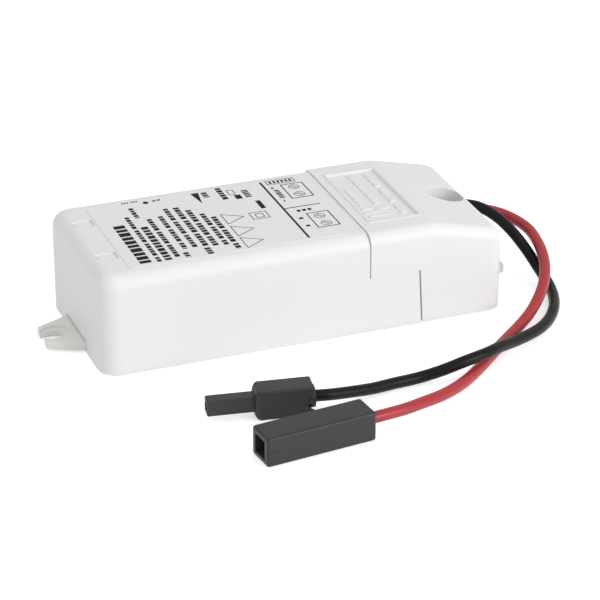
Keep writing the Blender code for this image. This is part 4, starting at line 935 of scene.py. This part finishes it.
material, shader, place = finish("solder_resist", IOR=1.5)
cells = place.node("ShaderNodeTexVoronoi", {"feature": "DISTANCE_TO_EDGE"}, {"Vector": place, "Scale": 260.0})
tracks = cells.maths("LESS_THAN", cells, 0.09)
weave = place.noise(place, 0.2 * MM, 3.0)
height = along(place, "Z")
faces = height.maths("LESS_THAN", height, BOARD_FACES[0])
faces += height.maths("GREATER_THAN", height, BOARD_FACES[1])
resist = place.between(tracks, (0.015, 0.14, 0.045), (0.05, 0.24, 0.09))
raw = place.between(weave, (0.42, 0.36, 0.20), (0.52, 0.46, 0.28))
feed(shader, "Base Color", place.between(faces, raw, resist))
feed(shader, "Roughness", 0.32 + weave * 0.2)
bump(shader, tracks, 0.03 * MM)
coat(material, "circuit_board")

green = moulded("green_terminal_nylon", (0.03, 0.24, 0.11), 0.4)
coat(green, "input_terminal_block", "output_terminal_block")
brass = plated("tinned_brass", (0.66, 0.58, 0.40), 0.28, (1, 1, 6))
for side in ("input", "output"):
    coat(brass, f"{side}_clamp_cage_1", f"{side}_clamp_cage_2")
    coat(steel, f"{side}_terminal_screw_1", f"{side}_terminal_screw_2")
coat(brass, "plug_contact_sleeve", "socket_contact_pin")

material, shader, place = finish("tinned_strands", Metallic=1.0)
strands_and_painted_shade = place.node("ShaderNodeTexWave", {"bands_direction": "DIAGONAL"}, {"Vector": place, "Scale": 900.0})
# The darker bands between the bright strands are painted shade in the grooves between the wires; the same
# bands make the bump.
feed(shader, "Base Color", place.between(strands_and_painted_shade, (0.30, 0.27, 0.23), (0.72, 0.70, 0.66)))
feed(shader, "Roughness", 0.25 + strands_and_painted_shade * 0.12)
bump(shader, strands_and_painted_shade, 0.05 * MM)
coat(material, "black_lead_conductor", "red_lead_conductor")

BAND = 0.03
RESISTOR_GREY = (0.30, 0.33, 0.34)
BAND_PLACES = (0.26, 0.40, 0.54, 0.76)
BROWN, BLACK_INK, RED_INK = (0.10, 0.03, 0.01), (0.01, 0.01, 0.01), (0.45, 0.02, 0.015)
ORANGE, GOLD = (0.40, 0.10, 0.01), (0.45, 0.27, 0.05)


def colour_code(inks, middles=BAND_PLACES):
    """A resistor's printed bands, for banded_body."""
    return [(middle, BAND, ink) for middle, ink in zip(middles, inks)]


fuse_bands = colour_code((BROWN, BLACK_INK, BLACK_INK, GOLD))
body = banded_body("X", 0.1 * MM, 11.4 * MM, fuse_bands, RESISTOR_GREY)
coat(legged("fuse_resistor_lacquer", body, 0.38, 0.03 * MM), "fuse_resistor")
snubber_bands = colour_code((RED_INK, RED_INK, ORANGE, GOLD))
body = banded_body("Y", -5.7 * MM, 10.4 * MM, snubber_bands, RESISTOR_GREY)
coat(legged("snubber_resistor_lacquer", body, 0.38, 0.03 * MM), "snubber_resistor")
bleed_bands = colour_code((BROWN, BLACK_INK, GOLD, GOLD), (0.28, 0.42, 0.56, 0.76))
body = banded_body("Y", 1.4 * MM, 8.8 * MM, bleed_bands, (0.52, 0.35, 0.19))
coat(legged("bleed_resistor_lacquer", body, 0.36, 0.03 * MM), "bleed_resistor")

dipped = plain_body((0.03, 0.13, 0.38), 0.7)
coat(legged("blue_dipped_epoxy", dipped, 0.12, 0.05 * MM), "varistor", "y_capacitor")
PRINT_BROWN = (0.12, 0.07, 0.01)
box_bands = [(0.5, 0.05, PRINT_BROWN), (0.72, 0.02, PRINT_BROWN)]
boxed = banded_body("Z", LEG_TOP, 10.8 * MM, box_bands, (0.70, 0.46, 0.04))
coat(legged("yellow_capacitor_box", boxed, 0.34, 0.015 * MM), "film_capacitor")

material, shader, place = finish("sintered_ferrite", IOR=1.9)
pores = place.node("ShaderNodeTexVoronoi", {"feature": "F1"}, {"Vector": place, "Scale": 2400.0})
cloud = place.noise(place, 3.0 * MM, 3.0)
grey = pores * 0.6 + cloud * 0.3
feed(shader, "Base Color", place.between(grey, (0.02, 0.02, 0.022), (0.075, 0.075, 0.08)))
feed(shader, "Roughness", 0.45 + pores * 0.3)
bump(shader, pores, 0.02 * MM)
coat(material, "choke_core", "transformer_core_front", "transformer_core_back")

material, shader, place = finish("enamelled_copper", Metallic=1.0, Coat_Weight=0.6, Coat_Roughness=0.12)
turns_and_painted_shade = place.node("ShaderNodeTexWave", {"bands_direction": "DIAGONAL"}, {"Vector": place, "Scale": 420.0})
# The dark bands between the bright turns are painted shade in the grooves between the turns of wire; the same
# bands make the bump.
feed(shader, "Base Color", place.between(turns_and_painted_shade, (0.16, 0.045, 0.012), (0.62, 0.24, 0.09)))
feed(shader, "Roughness", 0.2 + turns_and_painted_shade * 0.1)
bump(shader, turns_and_painted_shade, 0.2 * MM)
coat(material, "choke_winding")


SLEEVE_TOP = 18.4 * MM
STRIPE_HALF = 1.3 * MM
ALUMINIUM = (0.6, 0.6, 0.6)


def sleeved(name, stripe_edge, middle):
    """A capacitor's dark shrink sleeve with its pale polarity stripe, open over the can's aluminium end."""
    def made(place, grains):
        beside = place.maths("ABSOLUTE", along(place, "Y") - middle)
        left = along(place, "X").maths("LESS_THAN", along(place, "X"), stripe_edge)
        stripe = beside.maths("LESS_THAN", beside, STRIPE_HALF) * left
        sleeve = place.between(stripe, (0.012, 0.02, 0.05), (0.42, 0.45, 0.48))
        top = along(place, "Z").maths("GREATER_THAN", along(place, "Z"), SLEEVE_TOP)
        return place.between(top, sleeve, ALUMINIUM)
    return legged(name, made, 0.22, 0.02 * MM)


coat(sleeved("bulk_capacitor_sleeve", -38.0 * MM, -9.95 * MM), "bulk_capacitor")
coat(sleeved("output_capacitor_sleeve", 3.5 * MM, 4.35 * MM), "output_capacitor")
epoxy = legged("black_moulding_epoxy", plain_body((0.022, 0.022, 0.023), 0.6), 0.48, 0.03 * MM)
coat(epoxy, "bridge_rectifier", "controller_chip", "power_transistor", "output_diode")
cream = legged("cream_moulding", plain_body((0.72, 0.67, 0.52), 0.93), 0.4, 0.012 * MM)
coat(cream, "optocoupler", "transformer_bobbin")

material, shader, place = finish("yellow_winding_tape", IOR=1.55, Coat_Weight=0.4, Coat_Roughness=0.15)
wound = {"Vector": place, "Scale": 160.0, "Distortion": 1.5}
layers = place.node("ShaderNodeTexWave", {"bands_direction": "Z"}, wound)
feed(shader, "Base Color", place.between(layers, (0.62, 0.42, 0.03), (0.76, 0.54, 0.06)))
feed(shader, "Roughness", 0.22 + layers * 0.12)
bump(shader, layers, 0.04 * MM)
coat(material, "transformer_winding")


# The floor and the light: a plain pale table top that keeps the shadow, one wide soft lamp in front and to
# the right, and an even sky.
FLOOR_SIZE = 4.0
FLOOR_GLOW = 0.55
SKY_LIGHT = 0.76
LAMP_PLACE = (0.32, -0.55, 0.26)
LAMP_AIM = (0, 0, 0.01)
LAMP_SIZE = 0.4
LAMP_POWER = 2.1
pick()
bpy.ops.mesh.primitive_plane_add(size=FLOOR_SIZE, location=(0, 0, -0.05 * MM))
floor = bpy.context.object
floor.name = "floor"
material, shader, place = finish("pale_floor", Roughness=0.9)
shader.inputs["Base Color"].default_value = (0.82, 0.82, 0.82, 1.0)
shader.inputs["Emission Color"].default_value = (1.0, 1.0, 1.0, 1.0)
tree = material.node_tree
rays = tree.nodes.new("ShaderNodeLightPath")
seen = Signal(tree, rays.outputs["Is Camera Ray"])
seen = seen.maths("MAXIMUM", seen, Signal(tree, rays.outputs["Is Glossy Ray"]))
seen = seen.maths("MAXIMUM", seen, Signal(tree, rays.outputs["Is Transmission Ray"]))
feed(shader, "Emission Strength", seen * FLOOR_GLOW)
floor.data.materials.append(material)

world = bpy.data.worlds.new("sky")
scene.world = world
world.use_nodes = True
tree = world.node_tree
sky = tree.nodes["Background"]
rays = tree.nodes.new("ShaderNodeLightPath")
seen = Signal(tree, rays.outputs["Is Camera Ray"])
sky.inputs["Color"].default_value = (1.0, 1.0, 1.0, 1.0)
tree.links.new((SKY_LIGHT + seen * (1.0 - SKY_LIGHT)).output, sky.inputs["Strength"])

lamp_data = bpy.data.lights.new("front_lamp", "AREA")
lamp_data.size = LAMP_SIZE
lamp_data.energy = LAMP_POWER
lamp = bpy.data.objects.new("front_lamp", lamp_data)
scene.collection.objects.link(lamp)
lamp.location = LAMP_PLACE
lamp.rotation_euler = (Vector(LAMP_AIM) - Vector(LAMP_PLACE)).to_track_quat("-Z", "Y").to_euler()
